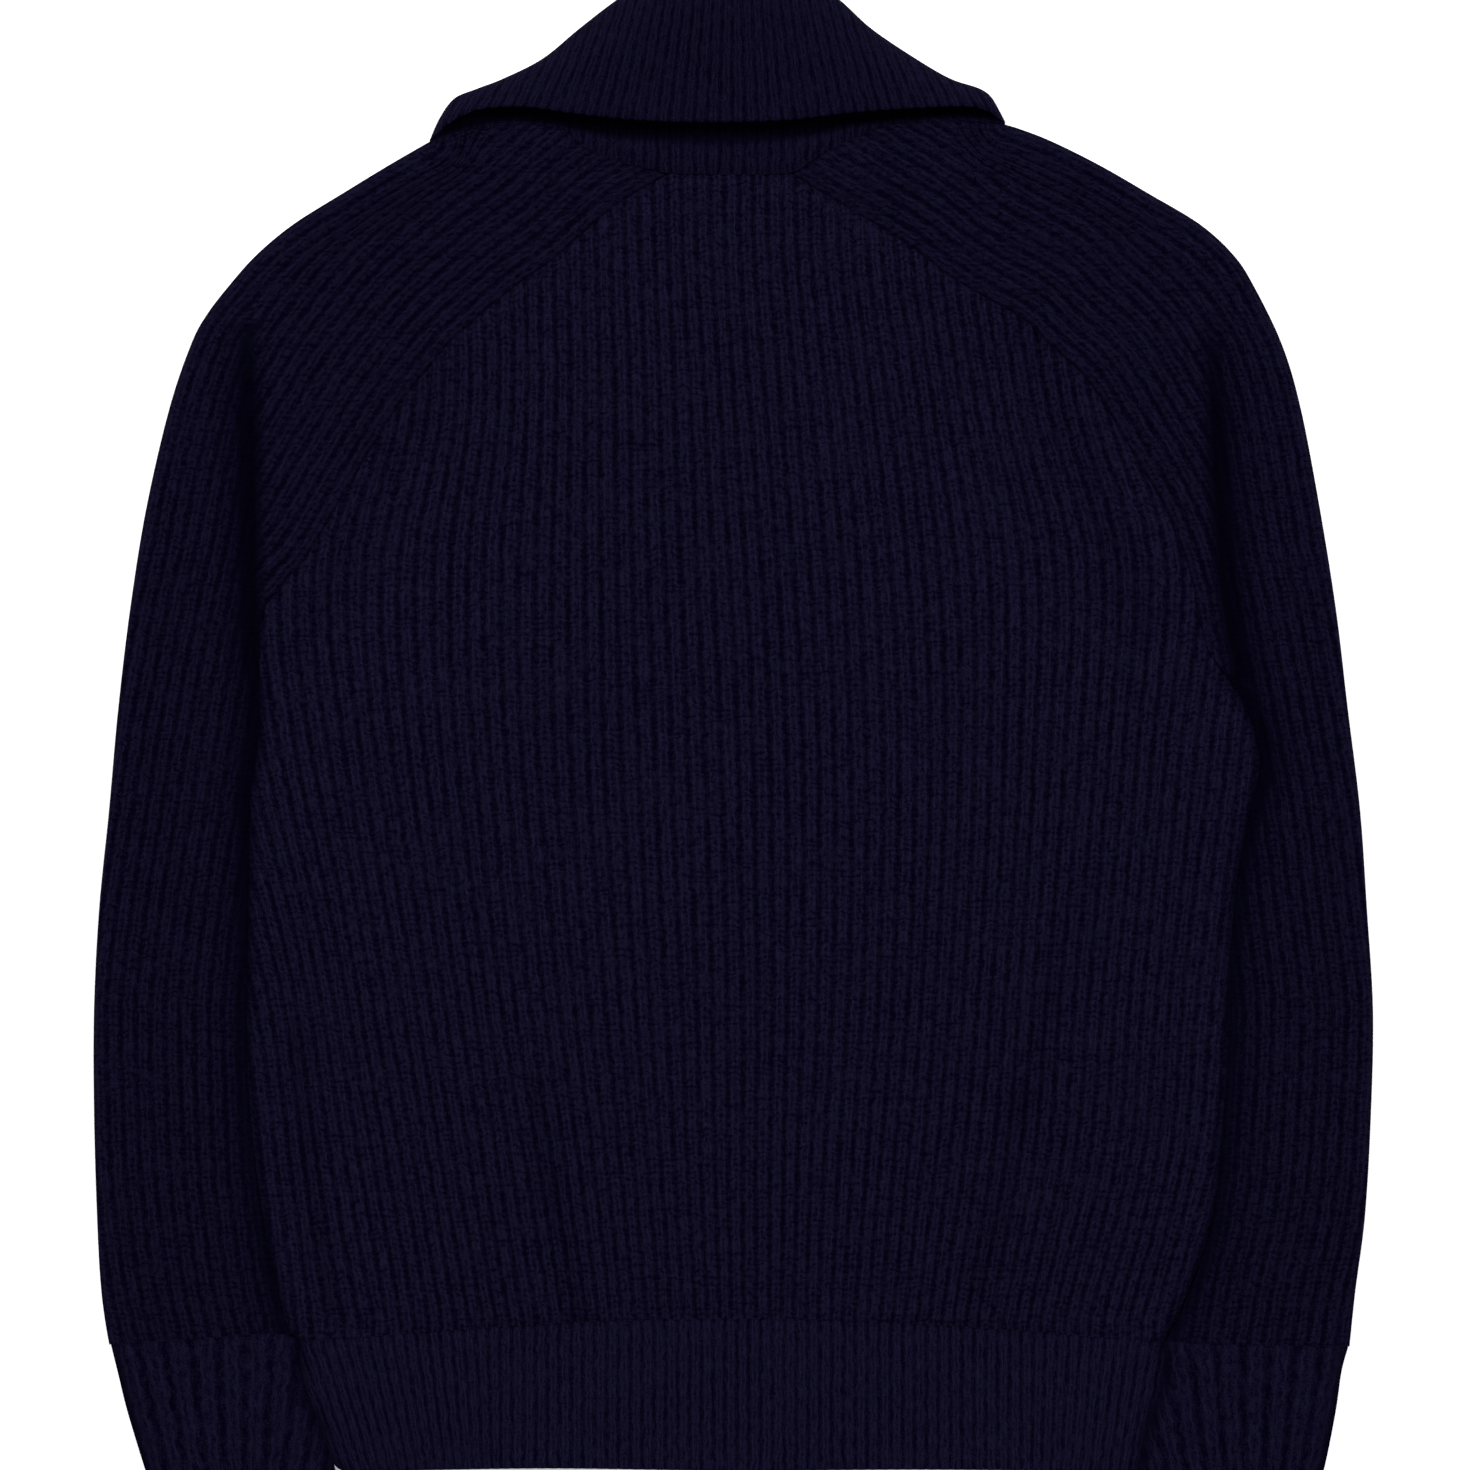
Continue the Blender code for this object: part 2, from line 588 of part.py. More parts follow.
def make_front(material):
    left, right = body_edge("left"), body_edge("right")
    hem_seam = resample([left[-1], (-80.0, -304.5), (60.0, -303.5), right[-1]], EDGE_STEP)
    half = CHANNEL / 2
    neck = front_neckline()
    neck_left = [p for p in neck if p[0] < -half - 0.5] + [(-half, NECKLINE_DIP)]
    neck_right = [(half, NECKLINE_DIP)] + [p for p in neck if p[0] > half + 0.5]
    down = np.linspace(NECKLINE_DIP, ZIP_BOTTOM, 9)
    slit = [(-half, float(y)) for y in down] + [(half, float(y)) for y in down[::-1]]
    loop = inset(join_runs([left[0]] + neck_left[1:], slit, neck_right[:-1], right, hem_seam[::-1],
                           left[::-1]), SEAM_GAP / 2)
    sheet_solid("front", loop, [], lambda x, y, crest, edge: FRONT_WALL + lift(x, y), lift, material,
                lift_spots(loop))


# ---------------------------------------------------------------- sleeves
def sleeve_loop(side):
    sign = -1.0 if side == "left" else 1.0
    neck = SEAM_PARTS["left"] if side == "left" else SEAM_PARTS["right"][::-1]
    edge = body_edge(side)
    end = SLEEVE_END_LEFT[::-1] if side == "left" else SLEEVE_END_RIGHT[::-1]
    outer = SLEEVE_OUTER[side]
    bottom = resample([edge[-1], *end, outer[-1]], EDGE_STEP)
    loop = join_runs(neck, edge, bottom, outer[::-1])
    return inset(loop, SEAM_GAP / 2), sign


def division_x(side, y):
    """The x that parts the sleeve head from the hanging sleeve."""
    sign = -1.0 if side == "left" else 1.0
    rows = sorted((cy, cx) for cx, cy, _ in CREASES[side])
    top_y, top_x = rows[-1]
    if y > top_y:
        return top_x + sign * (y - top_y) * PARTING_SLOPE
    if y < rows[0][0]:
        edge = sorted((p[1], p[0]) for p in SIDE_FOLD[side])
        return float(np.interp(y, [e[0] for e in edge], [e[1] for e in edge]))
    return float(np.interp(y, [r[0] for r in rows], [r[1] for r in rows]))


def offset_line(points, distance):
    result = []
    for i, (x, y) in enumerate(points):
        a, b = points[max(i - 2, 0)], points[min(i + 2, len(points) - 1)]
        run = Vector((b[0] - a[0], b[1] - a[1])).normalized()
        result.append((x + run.y * distance, y - run.x * distance))
    return result


def sleeve_ribs(side, loop, sign):
    """Ribs of the sleeve head follow the raglan seam, the others the outer fold."""
    ribs = []
    seam = [p for p in body_edge(side) if p[1] > RAGLAN_END]
    start = (seam[0][0] - sign * SEAM_LEAD[0], seam[0][1] + SEAM_LEAD[1])
    end = (seam[-1][0] + sign * SEAM_TAIL[0], SEAM_TAIL[1])
    seam = [start] + seam + [end]
    outer = resample(side_points(SHOULDER_AND_SLEEVE, side), ROW_STEP)

    def on_head(x, y):
        return sign * (division_x(side, y) - x) > HEAD_ROLL * 0.5

    def on_hanging(x, y):
        above = y > CREASES[side][0][1]
        return sign * (x - division_x(side, y)) > SLEEVE_ROLL * (0.1 if above else 0.35)

    for half in range(1, 44):
        crest = float(half % 2)
        head = offset_line(resample(seam, ROW_STEP / 2), -sign * half * SLEEVE_PITCH / 2)[::2]
        ribs += [(stretch, crest) for stretch in clip_rib(head, loop, SEAM_EASE, on_head)]
    for half in range(1, 60):
        crest = float(half % 2)
        line = []
        for x, y in outer:
            drift = float(np.interp(y, [r[0] for r in SLEEVE_DRIFT], [r[1] for r in SLEEVE_DRIFT]))
            line.append((x - sign * (half * SLEEVE_PITCH / 2 + drift), y))
        ribs += [(stretch, crest) for stretch in clip_rib(line, loop, SEAM_EASE, on_hanging)]
    return ribs


def sleeve_roll(side, x, y):
    sign = -1.0 if side == "left" else 1.0
    outer = quarter_round(distance_to(SLEEVE_OUTER[side], x, y), ROLL)
    in_head = sign * (division_x(side, y) - x) > 0
    line = crease_line(side) + SIDE_FOLD[side]
    near = distance_to(line, x, y)
    inner = quarter_round(near, HEAD_ROLL if in_head else SLEEVE_ROLL)
    depth = crease_depth(side, y) if y > ARMPIT else 1.0
    return min(outer, 1.0 - depth * (1.0 - inner))


def cut_slot(obj, run_pairs):
    """Cut the flat hollow out of a tube.

    run_pairs lists (points, how far the run is moved to its right).
    """
    loop = join_runs(*[offset_line(points, shift) for points, shift in run_pairs])
    mesh = bmesh.new()
    face = mesh.faces.new([mesh.verts.new((x * MM, y * MM, FRONT_WALL * MM)) for x, y in loop])
    grown = bmesh.ops.extrude_face_region(mesh, geom=[face])
    for item in grown["geom"]:
        if isinstance(item, bmesh.types.BMVert):
            item.co.z += SLOT * MM
    bmesh.ops.recalc_face_normals(mesh, faces=mesh.faces[:])
    apply_boolean(obj, add_object(f"{obj.name}_slot", mesh, obj.data.materials[0]), "DIFFERENCE")


def make_sleeve(side, material):
    loop, sign = sleeve_loop(side)
    ribs = sleeve_ribs(side, loop, sign)

    def top(x, y, crest, edge):
        roll = sleeve_roll(side, x, y)
        height = FOLD_TOP + (SLEEVE_TOP - FOLD_TOP) * roll
        if edge:
            return min(height, FRONT_WALL + LAYER_GAP + LOFT * roll + RIM)
        return height + RIB_RISE * crest * roll

    sleeve = sheet_solid(f"sleeve_{side}", loop, ribs, top, lambda x, y: 0.0, material)
    edge = body_edge(side)
    raglan = [p for p in edge if p[1] > 62.0]
    side_run = [p for p in edge if p[1] < 40.0]
    neck = SEAM_PARTS["left"][2:-1] if side == "left" else SEAM_PARTS["right"][::-1][2:-1]
    end = SLEEVE_END_LEFT[::-1] if side == "left" else SLEEVE_END_RIGHT[::-1]
    turn = 1.0 if side == "left" else -1.0
    cut_slot(sleeve, [(neck, -OVERSHOOT * turn), (raglan, -OVERSHOOT * turn), (side_run, FOLD_WALL * turn),
                      (list(end), -OVERSHOOT * turn), (SLEEVE_OUTER[side][1:-1][::-1], FOLD_WALL * turn)])


# ---------------------------------------------------------------- hem and cuffs
def band_ribs(top_run, bottom_run, count, loop, ease):
    """Ribs that share out the width of a band, from its seam to its free edge."""
    ribs = []
    for half in range(1, 2 * count):
        share = half / (2.0 * count)
        ends = []
        for run in (top_run, bottom_run):
            fine = resample(run, 1.0)
            ends.append(fine[min(len(fine) - 1, int(round(share * (len(fine) - 1))))])
        for stretch in clip_rib([ends[0], ends[1]], loop, ease):
            ribs.append((stretch, float(half % 2)))
    return ribs


def band_top(folds, rise, high):
    """Height of a flattened band: rolled down at its two side folds."""
    def top(x, y, crest, edge):
        roll = quarter_round(min(distance_to(fold, x, y) for fold in folds), ROLL)
        height = FOLD_TOP + (high - FOLD_TOP) * roll
        return height - EDGE_DIP * roll if edge else height + rise * crest * roll
    return top


def make_hem(material):
    seam = resample([HEM_SIDE["left"][0], (-80.0, -304.5), (60.0, -303.5), HEM_SIDE["right"][0]], EDGE_STEP)
    edge = resample(HEM_BOTTOM, EDGE_STEP)
    left, right = (resample(HEM_SIDE[side], EDGE_STEP) for side in SIDES)
    loop = inset(join_runs(seam[::-1], left, edge, right[::-1]), SEAM_GAP / 2)
    ribs = band_ribs(seam, edge, HEM_RIBS, loop, EDGE_EASE)
    top = band_top((left, right), HEM_RISE, SLEEVE_TOP)
    hem = sheet_solid("hem", loop, ribs, top, lambda x, y: 0.0, material)
    cut_slot(hem, [(seam[1:-1][::-1], -OVERSHOOT * -1), (left, FOLD_WALL * -1), (edge[1:-1], OVERSHOOT),
                   (right[::-1], -FOLD_WALL)])


def cuff_ribs(side, outer, inner, loop):
    """Ribs of a cuff, which draw together towards the middle of its free edge."""
    (outer_x, outer_y), (inner_x, _) = outer[0], inner[0]
    outer_lean, inner_lean = CUFF_LEAN[side]
    ribs = []
    for half in range(1, 2 * (CUFF_RIBS + CUFF_EXTRA)):
        share = half / (2.0 * CUFF_RIBS)
        head = outer_x + (inner_x - outer_x) * share
        foot = head + outer_lean + (inner_lean - outer_lean) * share
        for stretch in clip_rib([(head, outer_y), (foot, outer[-1][1])], loop, EDGE_EASE):
            ribs.append((stretch, float(half % 2)))
    return ribs


def make_cuff(side, material):
    outer = resample(side_points(CUFF_OUTER, side), EDGE_STEP)
    inner = resample(side_points(CUFF_INNER, side), EDGE_STEP)
    middle = SLEEVE_END_LEFT if side == "left" else SLEEVE_END_RIGHT
    seam = resample([outer[0], *middle, inner[0]], EDGE_STEP)
    edge = resample([outer[-1], inner[-1]], EDGE_STEP)
    loop = inset(join_runs(seam, inner, edge[::-1], outer[::-1]), SEAM_GAP / 2)
    ribs = cuff_ribs(side, outer, inner, loop)
    cuff = sheet_solid(f"cuff_{side}", loop, ribs, band_top((outer, inner), CUFF_RISE, CUFF_TOP),
                       lambda x, y: 0.0, material)
    turn = 1.0 if side == "left" else -1.0
    cut_slot(cuff, [(seam[1:-1], -OVERSHOOT * turn), (inner, FOLD_WALL * turn),
                    (edge[::-1], -OVERSHOOT * turn), (outer[::-1], FOLD_WALL * turn)])


# ---------------------------------------------------------------- collar
def fold_outline():
    """The collar's fold, from its left end over the top to its right end."""
    left = column_points(COLLAR_FOLD, 0, 1)[::-1]
    right = column_points(COLLAR_FOLD, 0, 2)[1:]
    return resample([(-157.8, 308.0)] + left + right + [(141.2, 317.2)], 9.0)


def stand_base(x, y):
    """Underside of the collar stand: over the slider at the middle, on the layer below at the sides."""
    low = FRONT_WALL + LAYER_GAP
    middle_y, half, depth = TRENCH
    middle = STAND_BASE - depth * math.exp(-((y - middle_y) / half) ** 2)
    return low + (middle - low) * math.exp(-(max(0.0, abs(x) - STAND_FLAT) / STAND_FADE) ** 2)


def fall_height(x, y, fold):
    near = distance_to(fold, x, y)
    return FALL_EDGE + FALL_PUFF * quarter_round(near, FALL_ROLL)


def make_collar(material):
    fold = fold_outline()
    seam = collar_seam()
    stand_loop = inset(join_runs(seam[1:-1], offset_line(fold, 3.0)[2:-2][::-1]), SEAM_GAP / 2)
    ribs = []
    for half in range(-50, 51):
        x = half * COLLAR_PITCH / 2
        for stretch in clip_rib([(x, y) for y in STAND_ROWS], stand_loop, EDGE_EASE):
            ribs.append((stretch, float(half % 2)))

    def stand_top(x, y, crest, edge):
        return stand_base(x, y) + RIM + (0.0 if edge else COLLAR_RISE * crest + SEAM_SINK)

    stand = sheet_solid("collar_stand", stand_loop, ribs, stand_top, stand_base, material,
                        grid_spots(stand_loop, STAND_SPOTS))

    leaf = resample(LEAF_EDGE, 9.0)
    fall_loop = inset(join_runs(leaf, fold[1:-1][::-1]), SEAM_GAP / 2)
    ribs = []
    for half in range(-52, 53):
        foot = half * COLLAR_PITCH / 2 + FALL_MIDDLE
        line = [(foot * (1.0 - COLLAR_FAN * (y - FAN_BASE)), y) for y in FALL_ROWS]
        for stretch in clip_rib(line, fall_loop, EDGE_EASE):
            ribs.append((stretch, float(half % 2)))

    def fall_top(x, y, crest, edge):
        height = fall_height(x, y, fold)
        fade = smoothstep(0.0, FALL_FADE, distance_to(fold, x, y))
        return height - (LEAF_SINK * fade if edge else 0.0) + COLLAR_RISE * crest * fade

    def fall_bottom(x, y):
        return max(FRONT_WALL + LAYER_GAP, fall_height(x, y, fold) - FALL_WALL)

    collar = sheet_solid("collar", fall_loop, ribs, fall_top, fall_bottom, material,
                         grid_spots(fall_loop, FALL_SPOTS))
    apply_boolean(collar, stand, "UNION")
    return fold, seam


def make_collar_fronts(fold, seam, material):
    """The hidden front stretch of the collar, in the bottom layer, parted by the zip."""
    half = CHANNEL / 2
    neck = front_neckline()
    for side, sign in (("left", -1.0), ("right", 1.0)):
        inner = [p for p in neck if sign * p[0] > half + 0.5]
        neck_end = abs(neck[0 if sign < 0 else -1][0])
        seam_run = [p for p in seam if sign * p[0] > max(FRONT_INNER, neck_end)]
        outer = [p for p in fold if sign * p[0] > FRONT_OUTER]
        inner_run = inner if sign < 0 else inner[::-1]
        seam_path = sorted(seam_run, key=lambda p: -sign * p[0])
        fold_path = sorted(outer, key=lambda p: sign * p[0])
        zip_edge = [(sign * half, y) for y in (NECKLINE_DIP, FRONT_MIDDLE, COLLAR_FRONT_TOP)]
        dip = resample([zip_edge[-1], (sign * FRONT_BEND[0], FRONT_BEND[1]), fold_path[0]], EDGE_STEP)
        loop = join_runs(zip_edge[:2], dip, fold_path, seam_path, inner_run)
        sheet_solid(f"collar_front_{side}", inset(loop, SEAM_GAP / 2), [],
                    lambda x, y, crest, edge: FRONT_WALL + lift(x, y), lift, material, lift_spots(loop))


# ---------------------------------------------------------------- zip
def make_tapes(material, metal):
    for side, sign in (("left", -1.0), ("right", 1.0)):
        mesh = bmesh.new()
        near, far = SEAM_GAP / 2, TAPE_WIDTH
        step = near + BEAD_WIDTH
        profile = [(near, BEAD[0]), (step, BEAD[0]), (step, TAPE[0]), (far, TAPE[0]),
                   (far, TAPE[1]), (step, TAPE[1]), (step, BEAD[1]), (near, BEAD[1])]
        low, high = ZIP_BOTTOM + STOP_LENGTH + SEAM_GAP, SLIDER_TOP - SLIDER_LENGTH * 0.5
        face = mesh.faces.new([mesh.verts.new((sign * x * MM, low * MM, z * MM)) for x, z in profile])
        grown = bmesh.ops.extrude_face_region(mesh, geom=[face])
        for item in grown["geom"]:
            if isinstance(item, bmesh.types.BMVert):
                item.co.y = high * MM
        bmesh.ops.recalc_face_normals(mesh, faces=mesh.faces[:])
        add_object(f"zip_tape_{side}", mesh, material)
    mesh = bmesh.new()
    box_mesh(mesh, (-STOP_HALF, ZIP_BOTTOM + 1.0, BEAD[0] - STOP_WRAP),
             (STOP_HALF, ZIP_BOTTOM + STOP_LENGTH, BEAD[1] + STOP_WRAP))
    add_object("zip_stop", mesh, metal)


def make_slider(material):
    """Two plates round the teeth, joined by a post, with two lugs and a pin for the pull tab."""
    low_y = SLIDER_TOP - SLIDER_LENGTH
    half = SLIDER_WIDTH / 2
    post_top = SLIDER_TOP - POST_INSET
    boxes = {
        "zip_slider": ((-half, low_y, SLIDER_LOW[0]), (half, SLIDER_TOP, SLIDER_LOW[1])),
        "slider_high": ((-half, low_y, SLIDER_HIGH[0]), (half, SLIDER_TOP, SLIDER_HIGH[1])),
        "slider_post": ((-POST[0] / 2, post_top - POST[1], SLIDER_LOW[1] - SINK),
                        (POST[0] / 2, post_top, SLIDER_HIGH[0] + SINK)),
    }
    for name, sign in (("slider_lug_left", -1.0), ("slider_lug_right", 1.0)):
        ends = sorted((sign * LUG_X[0], sign * LUG_X[1]))
        boxes[name] = ((ends[0], HINGE[0] - LUG_HALF, HINGE[1] - LUG_DROP),
                       (ends[1], HINGE[0] + LUG_HALF, SLIDER_LOW[0] + SINK))
    pieces = []
    for name, (a, b) in boxes.items():
        mesh = bmesh.new()
        box_mesh(mesh, a, b)
        pieces.append(add_object(name, mesh, material))
    mesh = bmesh.new()
    bmesh.ops.create_cone(mesh, cap_ends=True, segments=12, radius1=PIN_RADIUS * MM,
                          radius2=PIN_RADIUS * MM, depth=PIN_LENGTH * MM)
    for vert in mesh.verts:
        x, y, z = vert.co
        vert.co = (z, x + HINGE[0] * MM, y + HINGE[1] * MM)
    bmesh.ops.recalc_face_normals(mesh, faces=mesh.faces[:])
    pieces.append(add_object("slider_pin", mesh, material))
    for other in pieces[1:]:
        apply_boolean(pieces[0], other, "UNION")


def make_pull_tab(material):
    """An eye round the slider's pin and a flat tab that hangs from it, with its origin on the axis."""
    mesh = bmesh.new()
    ring = 16
    half = EYE_WIDTH / 2
    loops = []
    turns = [2 * math.pi * k / ring for k in range(ring)]
    for x, radius in ((-half, EYE_OUTER), (half, EYE_OUTER), (half, EYE_INNER), (-half, EYE_INNER)):
        loops.append([mesh.verts.new((x * MM, radius * MM * math.cos(turn), radius * MM * math.sin(turn)))
                      for turn in turns])
    for a in range(4):
        one, two = loops[a], loops[(a + 1) % 4]
        for k in range(ring):
            mesh.faces.new((one[k], one[(k + 1) % ring], two[(k + 1) % ring], two[k]))
    bmesh.ops.recalc_face_normals(mesh, faces=mesh.faces[:])
    eye = add_object("zip_pull_tab", mesh, material)
    mesh = bmesh.new()
    low = -EYE_OUTER
    wide = TAB_WIDTH / 2
    right = [(half, -TAB_ROOT), (wide, -TAB_SHOULDER), (wide, -TAB_LENGTH + TAB_CORNER),
             (wide - TAB_CORNER, -TAB_LENGTH)]
    outline = right + [(-x, y) for x, y in right[::-1]]
    face = mesh.faces.new([mesh.verts.new((x * MM, y * MM, low * MM)) for x, y in outline])
    grown = bmesh.ops.extrude_face_region(mesh, geom=[face])
    for item in grown["geom"]:
        if isinstance(item, bmesh.types.BMVert):
            item.co.z += TAB_THICK * MM
    bmesh.ops.recalc_face_normals(mesh, faces=mesh.faces[:])
    plate = add_object("tab_plate", mesh, material)
    for obj in (eye, plate):
        obj.location = (0.0, HINGE[0] * MM, HINGE[1] * MM)
    apply_boolean(eye, plate, "UNION")


def main():
    clear_scene()
    knit = make_material("navy half-cardigan knit", NAVY, 0.95)
    rib_knit = make_material("navy rib knit", NAVY_RIB, 0.93)
    tape = make_material("navy zip tape", TAPE_NAVY, 0.8)
    metal = make_material("dark zip metal", (0.10, 0.10, 0.105), 0.35, 1.0)
    make_back(knit)
    make_front(knit)
    for side in ("left", "right"):
        make_sleeve(side, knit)
        make_cuff(side, rib_knit)
    make_hem(rib_knit)
    fold, seam = make_collar(rib_knit)
    make_collar_fronts(fold, seam, rib_knit)
    make_tapes(tape, metal)
    make_slider(metal)
    make_pull_tab(metal)


main()
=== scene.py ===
# %% [markdown]
# # A thick navy sweater, laid face down
# The garment is knitted in half-cardigan rib, a springy stitch with fat ribs and deep grooves.  It lies
# flat, back side up.  The frame holds its solids.  Each of them gets a shell of cloth with the same
# outline, finer ribs, and a knit finish.  Lengths here are millimetres, as on a maker's cutting sheet,
# and turn into metres only where a mesh is made.

# %% Load the frame
import math

import bmesh
import bpy
import numpy as np
from mathutils import Matrix, Vector


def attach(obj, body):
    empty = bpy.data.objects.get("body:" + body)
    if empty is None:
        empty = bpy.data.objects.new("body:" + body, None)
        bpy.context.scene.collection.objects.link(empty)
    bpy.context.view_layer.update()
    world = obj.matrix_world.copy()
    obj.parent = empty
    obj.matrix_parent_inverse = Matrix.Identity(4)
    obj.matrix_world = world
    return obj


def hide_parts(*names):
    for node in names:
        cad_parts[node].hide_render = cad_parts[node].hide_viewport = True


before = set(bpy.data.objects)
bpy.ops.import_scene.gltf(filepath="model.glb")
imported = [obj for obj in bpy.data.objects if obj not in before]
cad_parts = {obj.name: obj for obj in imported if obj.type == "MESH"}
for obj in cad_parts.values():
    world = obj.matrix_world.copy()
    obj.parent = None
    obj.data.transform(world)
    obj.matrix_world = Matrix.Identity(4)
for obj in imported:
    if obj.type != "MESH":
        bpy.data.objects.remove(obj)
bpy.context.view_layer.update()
MM = 0.001

# %% [markdown]
# ## Outlines
# A flat garment is mostly its outline, so the outline comes first.  Each table has only the points that
# the curve needs, and a smooth curve runs through them.  The raglan seam and the body's side are one
# line, because the sleeve and the body share it.

# %% The outlines, as on the cutting sheet
# Columns: y of the left edge, left x, y of the right edge, right x.
SHOULDER_AND_SLEEVE = (
    (308.0, -157.8, 317.2, 141.2), (296.4, -178.0, 309.4, 162.5), (280.8, -203.6, 296.4, 189.0),
    (265.2, -228.5, 280.8, 216.1), (249.6, -247.3, 265.2, 242.1), (234.0, -261.3, 249.6, 259.2),
    (218.4, -273.3, 234.0, 269.6), (202.8, -281.6, 202.8, 284.7), (169.0, -293.0, 169.0, 294.6),
    (117.0, -305.0, 117.0, 304.5), (65.0, -313.3, 65.0, 312.8), (13.0, -319.5, 13.0, 319.0),
    (-39.0, -324.2, -39.0, 325.3), (-91.0, -329.4, -91.0, 328.9), (-143.0, -332.0, -143.0, 332.0),
    (-195.0, -332.0, -195.0, 331.0), (-247.0, -330.5, -247.0, 328.0), (-285.0, -328.0, -285.0, 322.5),
    (-316.0, -323.0, -317.0, 319.0),
)
CUFF_OUTER = (
    (-316.0, -323.0, -317.0, 319.0), (-330.0, -319.5, -330.0, 315.4), (-351.0, -314.3, -351.0, 312.3),
    (-380.0, -305.5, -380.0, 306.5), (-403.0, -298.0, -403.0, 300.0),
)
CUFF_INNER = (
    (-314.6, -225.4, -314.6, 222.8), (-342.2, -222.0, -334.9, 222.6), (-358.0, -214.0, -354.6, 216.0),
    (-380.0, -207.5, -381.0, 209.8), (-403.0, -202.5, -403.0, 207.0),
)
BODY_EDGE = (
    (291.2, -32.0, 291.2, 28.3), (274.6, -60.6, 256.4, 86.6), (247.0, -92.3, 239.2, 109.5),
    (234.0, -111.0, 227.2, 129.2), (216.8, -131.8, 215.3, 150.5), (202.8, -147.4, 203.3, 162.5),
    (187.2, -160.4, 186.2, 181.2), (169.0, -174.5, 171.6, 191.6), (145.6, -189.0, 151.3, 203.6),
    (119.6, -204.6, 133.1, 214.5), (93.6, -220.2, 114.4, 224.9), (75.4, -235.8, 94.6, 232.7),
    (59.8, -245.2, 74.4, 238.4), (18.2, -245.2, 47.8, 244.7), (-10.0, -247.0, 18.2, 263.4),
    (-32.2, -250.4, -12.5, 272.7), (-85.8, -251.4, -46.8, 266.0), (-129.5, -251.9, -85.8, 259.2),
    (-168.5, -252.5, -129.5, 257.1), (-212.7, -249.3, -168.5, 256.1), (-261.0, -242.1, -212.7, 253.0),
    (-305.2, -232.2, -251.7, 248.3), (-314.6, -225.4, -285.5, 237.4), (-314.6, -225.4, -314.6, 222.8),
)
# Columns: x, y.
SLEEVE_END = {
    "left": ((-323.0, -316.0), (-278.0, -313.0), (-239.0, -310.5), (-225.4, -314.6)),
    "right": ((222.8, -314.6), (250.0, -315.5), (276.0, -316.5), (319.0, -317.0)),
}
HEM_SEAM = ((-225.4, -314.6), (-80.0, -304.5), (60.0, -303.5), (222.8, -314.6))
HEM_BOTTOM = ((-202.0, -382.2), (-100.0, -380.4), (0.0, -381.6), (100.0, -381.0), (208.6, -382.2))
HEM_SIDE = {
    "left": ((-225.4, -314.6), (-222.4, -342.2), (-214.5, -358.0), (-210.5, -371.0), (-208.6, -376.5),
             (-205.0, -380.6), (-202.0, -382.2)),
    "right": ((222.8, -314.6), (223.0, -334.9), (216.4, -354.6), (212.3, -372.0), (210.1, -382.2)),
}
COLLAR_SEAM = (
    (-157.8, 308.0), (-137.0, 314.0), (-111.0, 316.7), (-90.2, 314.6), (-77.7, 304.2), (-58.0, 296.9),
    (-40.3, 292.8), (-32.0, 291.2), (0.0, 290.3), (28.3, 291.2), (39.8, 297.4), (51.2, 304.2),
    (76.2, 314.6), (102.2, 319.3), (141.2, 317.2),
)
LEAF_EDGE = (
    (-150.5, 314.5), (-143.0, 319.5), (-133.4, 324.0), (-111.0, 325.0), (-84.5, 321.4), (-49.1, 317.7),
    (-11.2, 316.7), (26.8, 317.7), (60.1, 321.4), (93.3, 324.0), (121.9, 325.5), (134.0, 323.5),
)
COLLAR_FOLD = (
    (-157.8, 308.0), (-152.6, 319.8), (-145.0, 330.2), (-133.0, 335.4), (-119.5, 340.6), (-99.0, 351.0),
    (-80.0, 366.6), (-60.0, 382.0), (-42.0, 393.0), (-22.0, 400.0), (-2.0, 403.0), (18.0, 400.0),
    (37.0, 393.0), (54.5, 382.0), (71.5, 366.6), (94.5, 351.0), (112.5, 340.6), (127.7, 335.4),
    (134.4, 330.2), (140.2, 319.8), (141.2, 317.2),
)


def smooth_curve(points, parts=12):
    """Dense points on a smooth curve through a table's points."""
    p = np.array(points, float)
    p = np.vstack([p[:1], p, p[-1:]])
    t = np.linspace(0.0, 1.0, parts, endpoint=False)[:, None]
    runs = []
    for a, b, c, d in zip(p[:-3], p[1:-2], p[2:-1], p[3:]):
        bend = (2 * a - 5 * b + 4 * c - d) * t**2 + (3 * b - a - 3 * c + d) * t**3
        runs.append(0.5 * (2 * b + (c - a) * t + bend))
    return np.vstack(runs + [p[-1:]])


def two_sides(table):
    """The left and the right curve of a table, as columns x and y."""
    rows = np.array(table)
    return {"left": smooth_curve(rows[:, [1, 0]]), "right": smooth_curve(rows[:, [3, 2]])}


def x_on(curve, y):
    """The x of a curve that runs downwards, at some heights."""
    order = np.argsort(curve[:, 1], kind="stable")
    return np.interp(y, curve[order, 1], curve[order, 0])


def y_on(curve, x):
    """The y of a curve that runs sideways, at some places."""
    order = np.argsort(curve[:, 0], kind="stable")
    return np.interp(x, curve[order, 0], curve[order, 1])


OUTER = two_sides(SHOULDER_AND_SLEEVE)
CUFF_OUT, CUFF_IN = two_sides(CUFF_OUTER), two_sides(CUFF_INNER)
BODY = two_sides(BODY_EDGE)
NECK = smooth_curve(COLLAR_SEAM)
print("width", round(OUTER["right"][:, 0].max() - OUTER["left"][:, 0].min()), "mm")

# %% [markdown]
# ## Measuring cloth
# Heights follow from distances: a rib sinks near a seam, and a layer rolls down near a fold.  These
# helpers work on whole arrays at once, so a panel of sixty thousand points takes a moment.

# %% Distances and soft steps
WAVES = 4                   # plane waves in wander()
WAVE_TURN, WAVE_SHIFT = 2.399, 1.7       # radians from one wave to the next
WAVE_SUM = 2.6              # brings the sum of the waves to about 1


